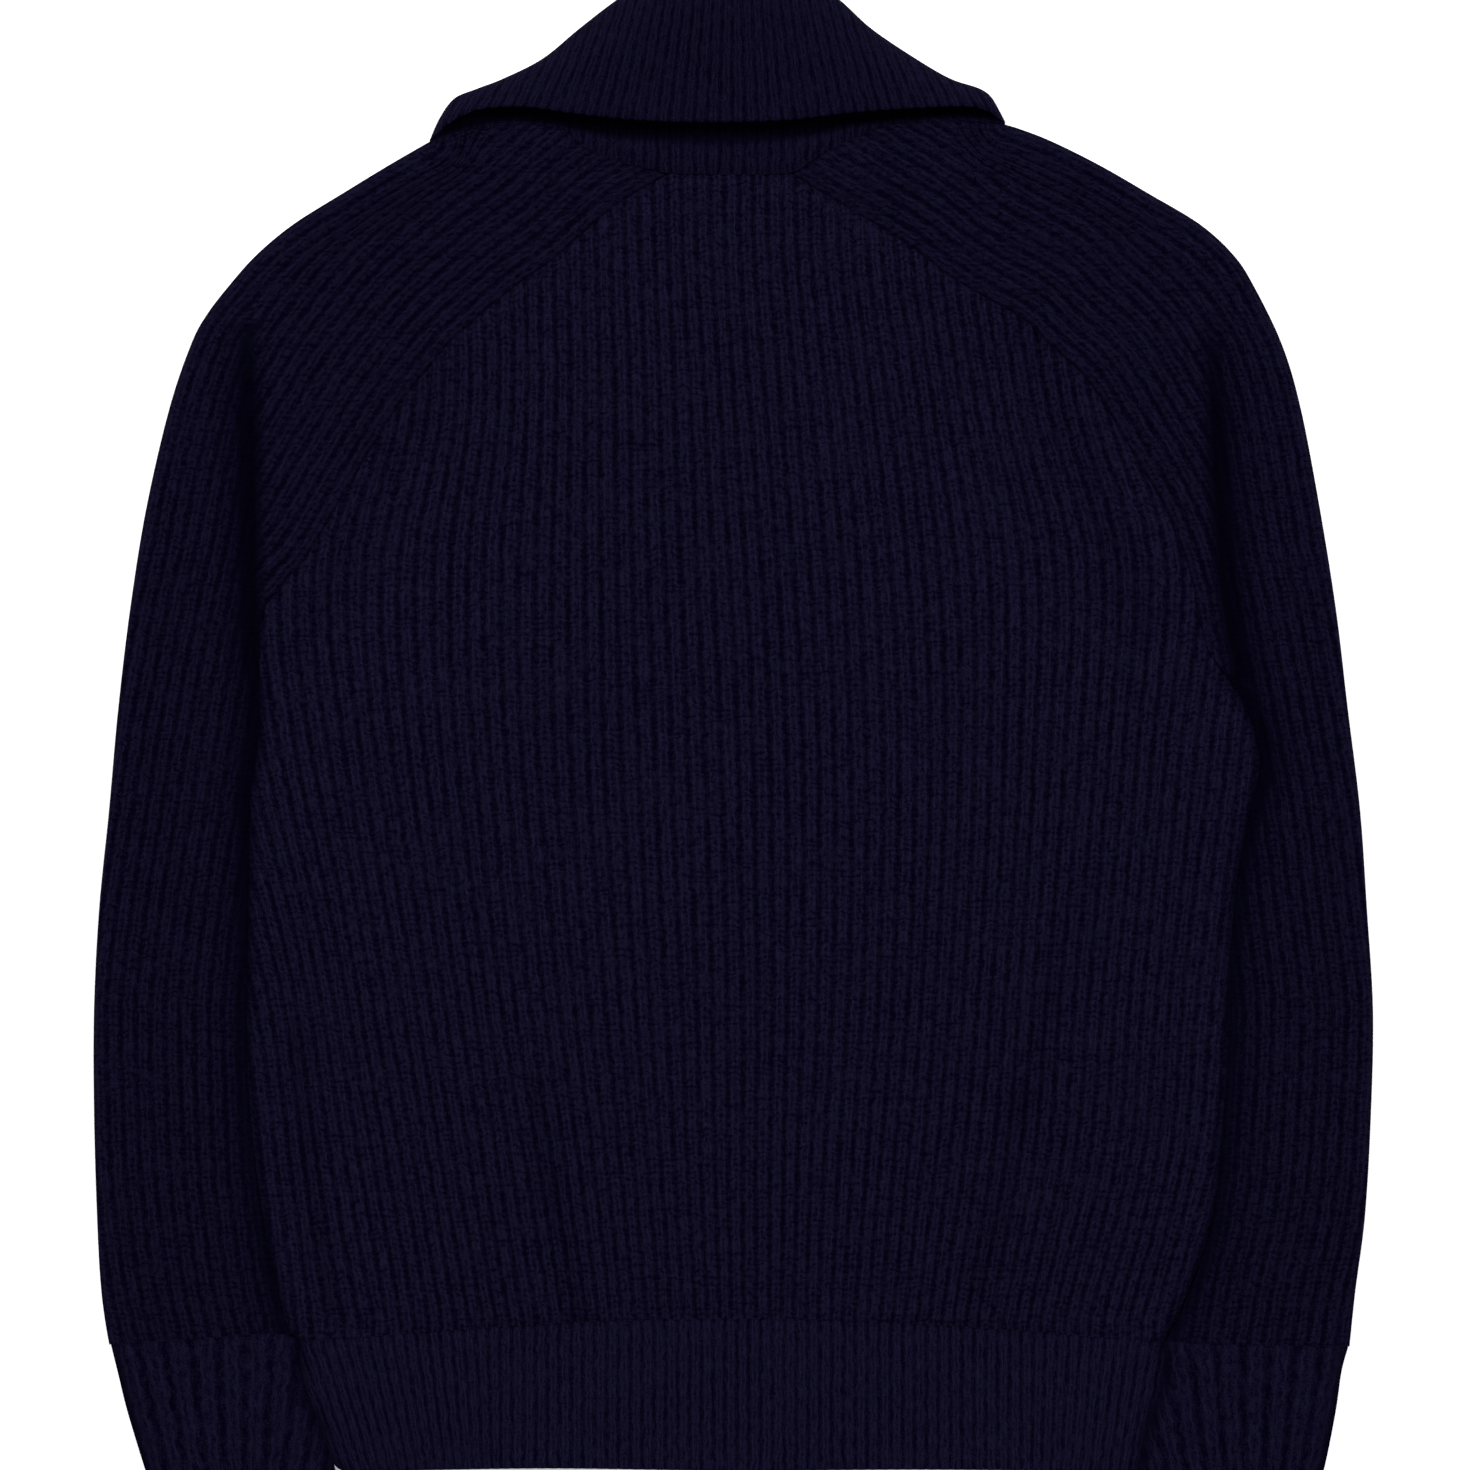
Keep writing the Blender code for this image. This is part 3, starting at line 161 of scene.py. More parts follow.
def from_stretch(start, end, x, y):
    """How far along a straight stretch each point lies, from 0 to 1, and how far away from it."""
    (ax, ay), (bx, by) = start, end
    rx, ry = bx - ax, by - ay
    t = np.clip(((x - ax) * rx + (y - ay) * ry) / max(rx * rx + ry * ry, 1e-9), 0.0, 1.0)
    return t, np.hypot(x - ax - rx * t, y - ay - ry * t)


def distance(curve, x, y):
    """How far each point is from a curve."""
    best = np.full(np.shape(x), np.inf)
    for start, end in zip(curve[:-1], curve[1:]):
        best = np.minimum(best, from_stretch(start, end, x, y)[1])
    return best


def soft_step(low, high, value):
    """0 below low and 1 above high, with a smooth rise between them."""
    t = np.clip((value - low) / (high - low), 0.0, 1.0)
    return t * t * (3.0 - 2.0 * t)


def round_over(gap, reach):
    """0 at a fold, rising like a quarter of a circle to 1 at its reach."""
    return np.sqrt(np.clip(1.0 - (1.0 - np.clip(gap / reach, 0.0, 1.0)) ** 2, 0.0, 1.0))


def lerp(a, b, t):
    return a + (b - a) * t


def wander(x, y, size):
    """A slow, repeatable waviness between about -1 and 1: a few plane waves, each turned from the last."""
    total = 0.0
    for k in range(WAVES):
        angle = WAVE_TURN * k
        reach = size * (0.7 + 0.35 * k)
        along = x * math.cos(angle) + y * math.sin(angle)
        total = total + np.sin(along * 2 * math.pi / reach + WAVE_SHIFT * k)
    return total / WAVE_SUM


# %% [markdown]
# ## A sheet of cloth
# Cloth has two faces and a rim.  The outer face needs many points, because it carries the ribs.  The
# inner face is plain, so it needs few.  Two grids are made, one above the other, `bridge_loops` joins
# their rims, and then every point is moved to its place.  Points that are pushed past a seam land on it
# and are welded, which cuts the panel to its outline without a Boolean.

# %% Small helpers for any piece
def add_object(name, data):
    """An object in the scene, at the origin."""
    added = bpy.data.objects.new(name, data)
    bpy.context.scene.collection.objects.link(added)
    return added


def hand_over(name, mesh):
    """Turn what was modelled into the mesh of an object."""
    data = bpy.data.meshes.new(name)
    mesh.to_mesh(data)
    mesh.free()
    return data


# %% The helpers that make each sheet
def two_grids(name, fine, coarse, notch):
    """Two flat grids a unit wide, the fine one above the coarse one, with their rims joined."""
    mesh = bmesh.new()
    for level, (columns, rows) in enumerate((coarse, fine)):
        made = bmesh.ops.create_grid(mesh, x_segments=columns, y_segments=rows, size=0.5)
        for vert in made["verts"]:
            vert.co.z = level
    if notch:
        middles = [(face, face.calc_center_median()) for face in mesh.faces]
        cut = [face for face, middle in middles if notch(middle.x + 0.5, middle.y + 0.5)]
        bmesh.ops.delete(mesh, geom=cut, context="FACES")
    rims = [edge for edge in mesh.edges if edge.is_boundary]
    for edge in rims:
        edge.smooth = False
    bmesh.ops.bridge_loops(mesh, edges=rims)
    return hand_over(name, mesh)


def cloth_sheet(name, fine, coarse, outer_face, inner_face, weld=0.03, notch=None):
    """A closed shell of cloth.  Each face is a function of two arrays, across and along, from 0 to 1.

    It returns x, y, z in millimetres, the rib number and the course number of each point, and may add how
    much painted shade lies on the point, from 0 to 1.  fine and coarse are the columns and rows of the two
    grids.
    notch(across, along) is true where the cloth is cut away.
    """
    data = two_grids(name, fine, coarse, notch)
    spots = np.empty(len(data.vertices) * 3)
    data.vertices.foreach_get("co", spots)
    spots = spots.reshape(-1, 3)
    is_outer = spots[:, 2] > 0.5
    placed = np.zeros((len(spots), 6))
    for chosen, face in ((is_outer, outer_face), (~is_outer, inner_face)):
        across, along = spots[chosen, 0] + 0.5, spots[chosen, 1] + 0.5
        values = np.broadcast_arrays(*face(across, along))
        placed[chosen, :len(values)] = np.stack(values, axis=1)
    data.vertices.foreach_set("co", (placed[:, :3] * MM).ravel())
    corners = np.empty(len(data.loops), np.int32)
    data.loops.foreach_get("vertex_index", corners)
    layer = data.uv_layers.new(name="knit")
    layer.data.foreach_set("uv", placed[corners, 3:5].ravel())
    # This attribute holds painted shade, from 0 to 1, by which the finish darkens the colour.
    data.attributes.new("painted_shade", "FLOAT", "POINT").data.foreach_set("value", placed[:, 5].copy())
    mesh = bmesh.new()
    mesh.from_mesh(data)
    bmesh.ops.remove_doubles(mesh, verts=mesh.verts[:], dist=weld * MM)
    bmesh.ops.dissolve_degenerate(mesh, edges=mesh.edges[:], dist=weld * MM)
    bmesh.ops.recalc_face_normals(mesh, faces=mesh.faces[:])
    mesh.to_mesh(data)
    mesh.free()
    data.shade_smooth()
    triangles = sum(len(polygon.vertices) - 2 for polygon in data.polygons)
    print(f"{name}: {triangles} triangles")
    return add_object(name, data)


# %% [markdown]
# ## The back panel
# Its ribs start at the hem, spread over the chest and run straight up to the neck, and the raglan seams
# cut across them.  They could be a bump on a smooth panel, but ribs this deep show in the outline.  So
# the columns of the grid are rib numbers, and every rib has the same few points across, however it
# leans.  The heights are those of the frame: low at the side folds, lofted between them.

# %% Where the ribs of the back run
RIB_PLACES = (-241.0, -189.0, -95.4, -1.8, 91.8, 185.4, 237.4)      # x at which ribs were counted
# Columns: y, then the rib number at each of RIB_PLACES.
BACK_RIBS = (
    (292.0, -30.0, -23.3, -10.7, 1.9, 14.6, 27.2, 34.2),
    (247.0, -30.0, -23.3, -10.8, 1.8, 14.5, 27.0, 34.0),
    (174.0, -30.8, -23.7, -10.9, 1.2, 13.0, 25.6, 32.7),
    (91.0, -27.2, -21.3, -10.7, 0.6, 11.8, 22.8, 29.1),
    (-13.0, -28.3, -22.0, -10.8, 0.0, 11.2, 23.3, 30.3),
    (-138.0, -32.6, -24.8, -12.1, -0.3, 11.7, 24.7, 32.1),
    (-221.0, -34.0, -26.8, -13.7, -0.4, 12.7, 25.7, 33.2),
    (-304.0, -35.2, -28.9, -15.6, -0.6, 14.0, 28.6, 36.3),
)
RIB_CURVES = [smooth_curve(np.array(BACK_RIBS)[:, [k + 1, 0]]) for k in range(len(RIB_PLACES))]
BODY_PITCH = 7.9
COURSE = 3.2                # height of one row of stitches


def rib_counts(y):
    """The rib number at each of RIB_PLACES, at some heights."""
    return [x_on(curve, y) for curve in RIB_CURVES]


def back_rib_number(x, y):
    """The rib number at a place on the back."""
    counts = rib_counts(y)
    number = counts[0] + (x - RIB_PLACES[0]) / BODY_PITCH
    for k in range(len(RIB_PLACES) - 1):
        share = (x - RIB_PLACES[k]) / (RIB_PLACES[k + 1] - RIB_PLACES[k])
        number = np.where(x > RIB_PLACES[k], lerp(counts[k], counts[k + 1], share), number)
    return np.where(x > RIB_PLACES[-1], counts[-1] + (x - RIB_PLACES[-1]) / BODY_PITCH, number)


def back_rib_x(number, y):
    """Where a rib of the back runs at some heights."""
    counts = rib_counts(y)
    x = RIB_PLACES[0] + (number - counts[0]) * BODY_PITCH
    for k in range(len(RIB_PLACES) - 1):
        share = (number - counts[k]) / (counts[k + 1] - counts[k])
        x = np.where(number > counts[k], lerp(RIB_PLACES[k], RIB_PLACES[k + 1], share), x)
    return np.where(number > counts[-1], RIB_PLACES[-1] + (number - counts[-1]) * BODY_PITCH, x)


# %% The height of the upper layer
LOW = 3.3                   # top of the front layer, with the air above it
RIM = 2.0                   # thickness of the cloth at its edge
LOFT, LOFT_REACH = 2.0, 30.0             # the upper layer rises this much, this far in from a side fold
ROLL = 13.0                 # cloth rolls down over this width at a fold
SEAM_HALF_GAP = -0.25       # below zero, because sewn edges are pressed into each other
ZIP_RIDGE, RIDGE_WIDTH = 2.3, 38.0
RIDGE_START = (15.0, 58.0)  # y between which the ridge over the zip rises
CREASE_KEEP = 6.0           # this close to a crease the cloth doesn't swell
FOLD_ENDS = 0.12            # keeps a soft fold from dying out wholly at its ends
SHADE_WANDER, SHADE_WAVE = 2.5, 34.0     # how far the edge of a soft shade strays, and how slowly
# Columns: start x, start y, end x, end y, half width, rise (a trough is negative).
SOFT_FOLDS = (
    (-103.0, 5.0, -38.0, 26.0, 13.0, 0.9),
    (-146.0, -60.0, -146.0, -143.0, 12.0, -1.1),
    (-82.0, -169.0, -64.0, -231.0, 12.0, 0.8),
    (107.0, -273.0, 157.0, -237.0, 13.0, 0.9),
    (140.0, -8.0, 222.0, -57.0, 15.0, -1.2),
    (205.0, -270.0, 214.0, -294.0, 12.0, -1.3),
    (-234.0, -178.0, -226.0, -292.0, 5.0, -1.4),
)
# Where the back lies in soft shade.  Columns: start x, start y, end x, end y, half width, strength.
SOFT_SHADES = (
    (-104.0, -180.0, -82.0, -300.0, 6.0, 0.26),
    (178.0, -80.0, 150.0, -190.0, 10.0, 0.12),
    (150.0, -190.0, 126.0, -290.0, 8.0, 0.2),
    (150.0, 215.0, 212.0, 60.0, 13.0, 0.2),
    (-150.0, 195.0, -225.0, 50.0, 13.0, 0.16),
    (-100.0, 6.0, -45.0, 20.0, 8.0, 0.14),
    (-228.0, -150.0, -208.0, -300.0, 6.0, 0.25),
)
# x, y and depth (0 to 1) of the crease where the sleeve hangs from its own head.
CREASES = {
    "left": ((-250.0, 222.0, 0.0), (-250.5, 205.0, 0.5), (-250.0, 163.0, 1.0), (-249.5, 114.0, 1.0),
             (-249.0, 65.5, 1.0), (-248.0, 40.0, 1.0)),
    "right": ((246.0, 222.0, 0.0), (247.0, 201.8, 0.5), (250.3, 138.3, 1.0), (254.0, 80.1, 1.0),
              (258.0, 52.0, 1.0), (262.5, 30.0, 1.0)),
}
SIDE_TOP = 30.0             # below this y the edge of the body is its side fold
SIDE_FOLD = {side: BODY[side][BODY[side][:, 1] < SIDE_TOP] for side in BODY}
CREASE_AND_SIDE = {side: np.vstack([np.array(CREASES[side])[:, :2], SIDE_FOLD[side]]) for side in BODY}


def soft_folds(x, y):
    """The few soft creases and swellings of the back, as listed."""
    total = 0.0
    for x0, y0, x1, y1, half, rise in SOFT_FOLDS:
        t, near = from_stretch((x0, y0), (x1, y1), x, y)
        fade = soft_step(0.0, 0.3, np.minimum(t, 1.0 - t) + FOLD_ENDS)
        total = total + rise * fade * np.exp(-((near / half) ** 2))
    return total


def soft_shades(x, y):
    """How much painted soft shade lies on the back, with an uneven edge."""
    total = 0.0
    for x0, y0, x1, y1, half, strength in SOFT_SHADES:
        near = distance(((x0, y0), (x1, y1)), x, y) + SHADE_WANDER * wander(x, y, SHADE_WAVE)
        total = total + strength * np.exp(-((near / half) ** 2))
    return total


def nearest_side(curves, x, y):
    """How far each point is from the nearer of a left and a right curve."""
    return np.minimum(distance(curves["left"], x, y), distance(curves["right"], x, y))


def body_underside(x, y):
    """Height of the back's inner face."""
    near = nearest_side(CREASE_AND_SIDE, x, y)
    swell = soft_folds(x, y)
    swell = np.where((near > CREASE_KEEP) | (swell < 0.0), swell, 0.0)
    ridge = ZIP_RIDGE * np.exp(-((x / RIDGE_WIDTH) ** 2)) * soft_step(*RIDGE_START, y)
    return np.maximum(LOW, LOW + LOFT * soft_step(0.0, LOFT_REACH, near) + swell) + ridge


def rib_profile(number):
    """1 on a rib's crest and 0 in its groove: a fat round rib and a narrow groove."""
    return np.abs(np.cos(math.pi * number)) ** 0.7


def seam_ease(near):
    """Ribs are drawn in at a seam, but not flat: 1 away from it and less on it."""
    return SEAM_KEEP + (1.0 - SEAM_KEEP) * soft_step(0.0, SEAM_EASE, near)


def seam_shade(near):
    """The narrow shade along a seam."""
    return SEAM_SHADE * (1.0 - soft_step(0.0, SEAM_SHADE_REACH, near))


# %% Make the back
RIB_RISE = 2.3
GROOVE_LEVEL = 0.8          # a groove lies this far above the plain cloth
SEAM_EASE, SEAM_KEEP = 5.0, 0.6
SEAM_SHADE, SEAM_SHADE_REACH = 0.12, 2.2
SIDE_SHADE, SIDE_SHADE_REACH = 0.55, 7.0
BACK_TOP, BACK_FOOT = 291.1, -306.0
FIRST_RIB, LAST_RIB = -38, 41
RIB_COLUMNS = 8             # columns of the outer face's grid to each rib
BACK_ROWS = 130, 60         # rows of the outer and of the inner face
STRAY, STRAY_APART, STRAY_WAVE = 0.35, 40.0, 130.0       # knitted ribs are never quite straight
HEM_SEAM_CURVE = smooth_curve(HEM_SEAM)


def hem_seam_y(x):
    return y_on(HEM_SEAM_CURVE, x)


def back_place(across, along):
    """x, y and rib number of a point of the back, cut off at the raglan seams and the sides."""
    number = lerp(FIRST_RIB, LAST_RIB, across)
    guess = back_rib_x(number, lerp(BACK_TOP, BACK_FOOT, 1.0 - along))
    y = lerp(hem_seam_y(guess) + SEAM_HALF_GAP, BACK_TOP - SEAM_HALF_GAP, along)
    x = back_rib_x(number, y) + STRAY * wander(number * STRAY_APART, y, STRAY_WAVE)
    left, right = x_on(BODY["left"], y) + SEAM_HALF_GAP, x_on(BODY["right"], y) - SEAM_HALF_GAP
    cut_x = np.clip(x, left, right)
    return cut_x, y, np.where(cut_x == x, number, back_rib_number(cut_x, y))


def back_outer(across, along):
    x, y, number = back_place(across, along)
    folds = nearest_side(SIDE_FOLD, x, y)
    seam = np.minimum(nearest_side(BODY, x, y), np.minimum(y - hem_seam_y(x), BACK_TOP - y))
    raised = round_over(folds, ROLL) * seam_ease(seam) * (GROOVE_LEVEL + RIB_RISE * rib_profile(number))
    z = body_underside(x, y) + RIM + raised
    # Painted shade: along the side folds, along the seams, and in the listed soft shades.
    side_shade = SIDE_SHADE * (1.0 - soft_step(0.0, SIDE_SHADE_REACH, folds))
    painted_shade = soft_shades(x, y) + side_shade + seam_shade(seam)
    return x, y, z, number, y / COURSE, np.minimum(painted_shade, 1.0)


def back_inner(across, along):
    x, y, number = back_place(across, along)
    return x, y, body_underside(x, y), number, y / COURSE


back_grids = ((LAST_RIB - FIRST_RIB) * RIB_COLUMNS, BACK_ROWS[0]), (LAST_RIB - FIRST_RIB, BACK_ROWS[1])
back = cloth_sheet("back_panel", *back_grids, back_outer, back_inner)

# %% [markdown]
# ## The sleeves
# A raglan sleeve is one panel, folded down its outer side and sewn together under the arm.  So the grid
# goes across the upper layer, round the outer fold and back underneath.  The sleeve's head lies along
# the raglan seam, and its ribs run with that seam.  Below the shoulder the sleeve hangs down, and its
# ribs run with the outer fold.  Between the two the cloth turns under in a crease.  One formula for all
# ribs would cross the crease, so ribs are counted from the seam on one side of it and from the outer
# fold on the other.

# %% Ribs and heights of a sleeve
SLEEVE_PITCH = 7.6
HEAD_ROLL = 5.0
SLEEVE_ROLL = 20.0
FOLD_TOP = 4.4              # height of the cloth on a fold
SLEEVE_TOP = 7.7            # and of a sleeve away from it
SEAM_FOOT = 58.0            # ribs of the head follow the raglan seam down to this y
SEAM_ON = (40.0, 24.0), (14.0, -68.0)    # how the seam runs on past its upper and its lower end
PARTING_LEAN = 0.9          # above the crease the parting goes outwards by this much for each mm
PARTING_WIDTH = (0.4, 10.0)              # how softly the ribs part, on the crease and on the shoulder
# How far the hanging ribs lean away from the outer fold.  Columns: y, drift.
SLEEVE_DRIFT = ((-320.0, -8.0), (-230.0, -14.0), (-140.0, -16.0), (-20.0, -9.0), (100.0, 0.0))
SLEEVE_SHADE = 0.25         # painted shade: the sleeves are a little darker than the back all over
CORE_SHADE, HALO_SHADE = 0.55, 0.45      # along the crease itself, and on either side of it
CORE_REACH, HALO_START = (3.0, 9.0), 0.2          # where each fades, the second as a share of its reach
SHADE_REACH, HEAD_SHADE_REACH = 24.0, 3.0         # how far the crease's shade lies on either side of it
# How strong the crease's shade is.  Columns: y, strength.
SHADE_STRENGTH = ((-311.0, 0.55), (-200.0, 0.5), (-60.0, 0.7), (0.0, 1.0), (230.0, 1.0))
HANGING_COUNT = {"left": 13.5, "right": 12.5}     # rib number at the outer fold
STRIP = 20.0                # on the shoulder, ribs this close to the outline run along it
SHOULDER = (196.0, 232.0)   # y between which the shoulder's strip of ribs begins
SIGN = {"left": -1.0, "right": 1.0}


def parting_x(side, y):
    """The x that parts the sleeve's head from the hanging sleeve."""
    crease = np.array(CREASES[side])[::-1]
    top_x, top_y = crease[-1, :2]
    x = np.interp(y, crease[:, 1], crease[:, 0])
    x = np.where(y > top_y, top_x + SIGN[side] * (y - top_y) * PARTING_LEAN, x)
    return np.where(y < crease[0, 1], x_on(SIDE_FOLD[side], y), x)


def sleeve_rib(side, x, y):
    """The rib number, whole on a crest, counted apart on the sleeve's head and on the hanging sleeve."""
    sign = SIGN[side]
    seam = BODY[side][BODY[side][:, 1] > SEAM_FOOT]
    (in_x, up_y), (out_x, down_y) = SEAM_ON
    seam = np.vstack([seam[0] + (-sign * in_x, up_y), seam, seam[-1] + (sign * out_x, down_y)])
    head = distance(seam, x, y) / SLEEVE_PITCH - 0.5
    drift = np.interp(y, *np.array(SLEEVE_DRIFT).T)
    to_outline = distance(OUTER[side], x, y)
    high = soft_step(*SHOULDER, y)
    from_outline = lerp(np.abs(x_on(OUTER[side], y) - x), to_outline, high) - drift
    hanging = HANGING_COUNT[side] - from_outline / SLEEVE_PITCH
    past = lerp(sign * (x - parting_x(side, y)), STRIP - to_outline, high)
    return lerp(head, hanging, soft_step(-1.0, 1.0, past / lerp(*PARTING_WIDTH, high)))


def sleeve_height(side, x, y):
    """Top of the cloth in a groove, how strongly the ribs show, and the painted shade on a point."""
    outer = round_over(distance(OUTER[side], x, y), ROLL)
    in_head = SIGN[side] * (parting_x(side, y) - x) > 0.0
    near = distance(CREASE_AND_SIDE[side], x, y)
    inner = round_over(near, np.where(in_head, HEAD_ROLL, SLEEVE_ROLL))
    crease = np.array(CREASES[side])[::-1]
    depth = np.where(y > SIDE_TOP, np.interp(y, crease[:, 1], crease[:, 2], right=0.0), 1.0)
    roll = np.minimum(outer, 1.0 - depth * (1.0 - inner))
    reach = np.where(in_head, HEAD_SHADE_REACH, SHADE_REACH)
    strength = np.interp(y, *np.array(SHADE_STRENGTH).T)
    core, halo = 1.0 - soft_step(*CORE_REACH, near), 1.0 - soft_step(HALO_START * reach, reach, near)
    # Painted shade: a little all over the sleeve, and most in and beside the crease.
    painted_shade = SLEEVE_SHADE + depth * strength * (CORE_SHADE * core + HALO_SHADE * halo)
    return FOLD_TOP + (SLEEVE_TOP - FOLD_TOP) * roll, roll, painted_shade


# %% The way across a sleeve and round its fold
UPPER_SHARE = 0.82          # share of the grid's columns on the upper layer
TURN_SHARE = 0.86           # the fold lies between the two shares
SLEEVE_FOOT = -311.0
NECK_SIDE = 27.0            # the neck seam belongs to a sleeve from about this far out
FOOT_BEND = -235.0          # below this y the rows of stitches bend to the cuff's seam
FOLD_TUCK = 3.0             # how far the fold is drawn in underneath
SLEEVE_WALL = 2.4
LOWER_WALL = 3.0            # top of the lower layer
CEILING = 3.6               # the least height of the upper layer's inner face
INSET_START = 0.9           # share of the way out at which the inner face turns in from the fold
SLEEVE_GRIDS = (150, 300), (40, 90)


def sleeve_row(side, along):
    """y, inner x and outer x of a row of the sleeve."""
    sign = SIGN[side]
    neck = NECK[NECK[:, 0] * sign > NECK_SIDE]
    peak_x, peak_y = neck[np.argmax(neck[:, 1])]
    is_inward = neck[:, 0] * sign < peak_x * sign
    y = lerp(SLEEVE_FOOT, peak_y - SEAM_HALF_GAP, along)
    inner = np.where(y > BODY_EDGE[0][0], x_on(neck[is_inward], y), x_on(BODY[side], y))
    outer = np.where(y > OUTER[side][0, 1], x_on(neck[~is_inward], y), x_on(OUTER[side], y))
    return y, inner + sign * SEAM_HALF_GAP, outer


SLEEVE_END_CURVE = {side: smooth_curve(SLEEVE_END[side]) for side in SIGN}


def sleeve_end_y(side, x):
    return y_on(SLEEVE_END_CURVE[side], x) + SEAM_HALF_GAP


def ways_out(across):
    """How far out from the inner edge, 0 to 1, a column lies on the upper and on the lower layer."""
    over = np.clip(across / UPPER_SHARE, 0.0, 1.0)
    return over, np.clip((1.0 - across) / (1.0 - TURN_SHARE), 0.0, 1.0)


def sleeve_place(side, across, along):
    """x and y, and how far the point has gone round the fold: 0 above, 1 below."""
    y, inner, outer = sleeve_row(side, along)
    over, under = ways_out(across)
    turn = np.clip((across - UPPER_SHARE) / (TURN_SHARE - UPPER_SHARE), 0.0, 1.0)
    x = np.where(across < TURN_SHARE, lerp(inner, outer, over), lerp(inner, outer, under))
    low = soft_step(FOOT_BEND, SLEEVE_FOOT, y)
    y = y + low * (sleeve_end_y(side, x) - SLEEVE_FOOT)
    return x, y, turn


def make_sleeve(side):
    sign = SIGN[side]

    def outer_face(across, along):
        x, y, turn = sleeve_place(side, across, along)
        height, roll, painted_shade = sleeve_height(side, x, y)
        number = sleeve_rib(side, x, y)
        seam = np.minimum(distance(BODY[side], x, y), y - sleeve_end_y(side, x))
        seam = np.minimum(seam, distance(NECK, x, y))
        ease = seam_ease(seam)
        above = np.minimum(height, LOW + LOFT * roll + RIM) * (1.0 - ease) + height * ease
        above = above + RIB_RISE * rib_profile(number) * roll * ease
        z = np.where(across < UPPER_SHARE, above, FOLD_TOP * (1.0 - turn))
        painted_shade = np.where(across < UPPER_SHARE, painted_shade + seam_shade(seam), 0.0)
        return x - sign * FOLD_TUCK * turn**2, y, z, number, y / COURSE, np.minimum(painted_shade, 1.0)

    def inner_face(across, along):
        x, y, turn = sleeve_place(side, across, along)
        height = sleeve_height(side, x, y)[0]
        above = np.maximum(CEILING, height - SLEEVE_WALL)
        z = np.where(across < UPPER_SHARE, above, lerp(CEILING, LOWER_WALL, turn))
        over, under = ways_out(across)
        inset = SLEEVE_WALL * soft_step(INSET_START, 1.0, over * under)
        return x - sign * inset, y, z, sleeve_rib(side, x, y), y / COURSE

    return cloth_sheet(f"sleeve_{side}_knit", *SLEEVE_GRIDS, outer_face, inner_face)


sleeves = {side: make_sleeve(side) for side in SIGN}

# %% [markdown]
# ## Hem and cuffs
# Hem and cuffs are knitted as bands and closed to a tube.  Laid flat, a tube is an upper and a lower
# layer, with a fold at each side.  They could be made as two sheets, but then the folds would need seams
# that the band hasn't got.  So one grid goes all the way round, and its two ends meet at the left fold,
# where the band is sewn.  The free edge is rounded over, because a ribbed edge always rolls a little.

# %% The helper for a flattened band
FOLD_COLUMNS = 9            # columns on half a fold
LAST_LEVEL = 0.45           # height of the last column on its fold, just below the first one's 0.5
TUCK = 3.0                  # how far the lower edge of a fold is drawn in
EDGE_ROUND = 2.4
EDGE_LEVEL = 1.5            # middle of the free edge's rounding
EDGE_ROWS = (0.0, 0.78, 1.0), (0.0, 0.96, 1.0)    # the last rows lie closer together, to round the edge
BAND_WALL = 2.4
BAND_SEAM_DROP = 0.3        # the seam lies this much lower where the ribs are drawn in
BAND_SHADE, BAND_SHADE_REACH = 0.5, 9.0
NEXT_TO = 1e-6              # shares closer than this are the same


def round_band(across, upper, lower):
    """Place between the two folds (0 to 1), height on a fold (0 to 1), and whether it is the upper layer.

    upper and lower are the numbers of columns on the two layers.
    """
    f = FOLD_COLUMNS
    knots = np.cumsum((0, f, upper, f, f, lower, f)) / (4 * f + upper + lower)
    place = np.interp(across, knots, (0.0, 0.0, 1.0, 1.0, 1.0, 0.0, 0.0))
    level = np.interp(across, knots, (0.5, 1.0, 1.0, 0.5, 0.0, 0.0, LAST_LEVEL))
    return place, level, (across > knots[1] - NEXT_TO) & (across < knots[2] + NEXT_TO)


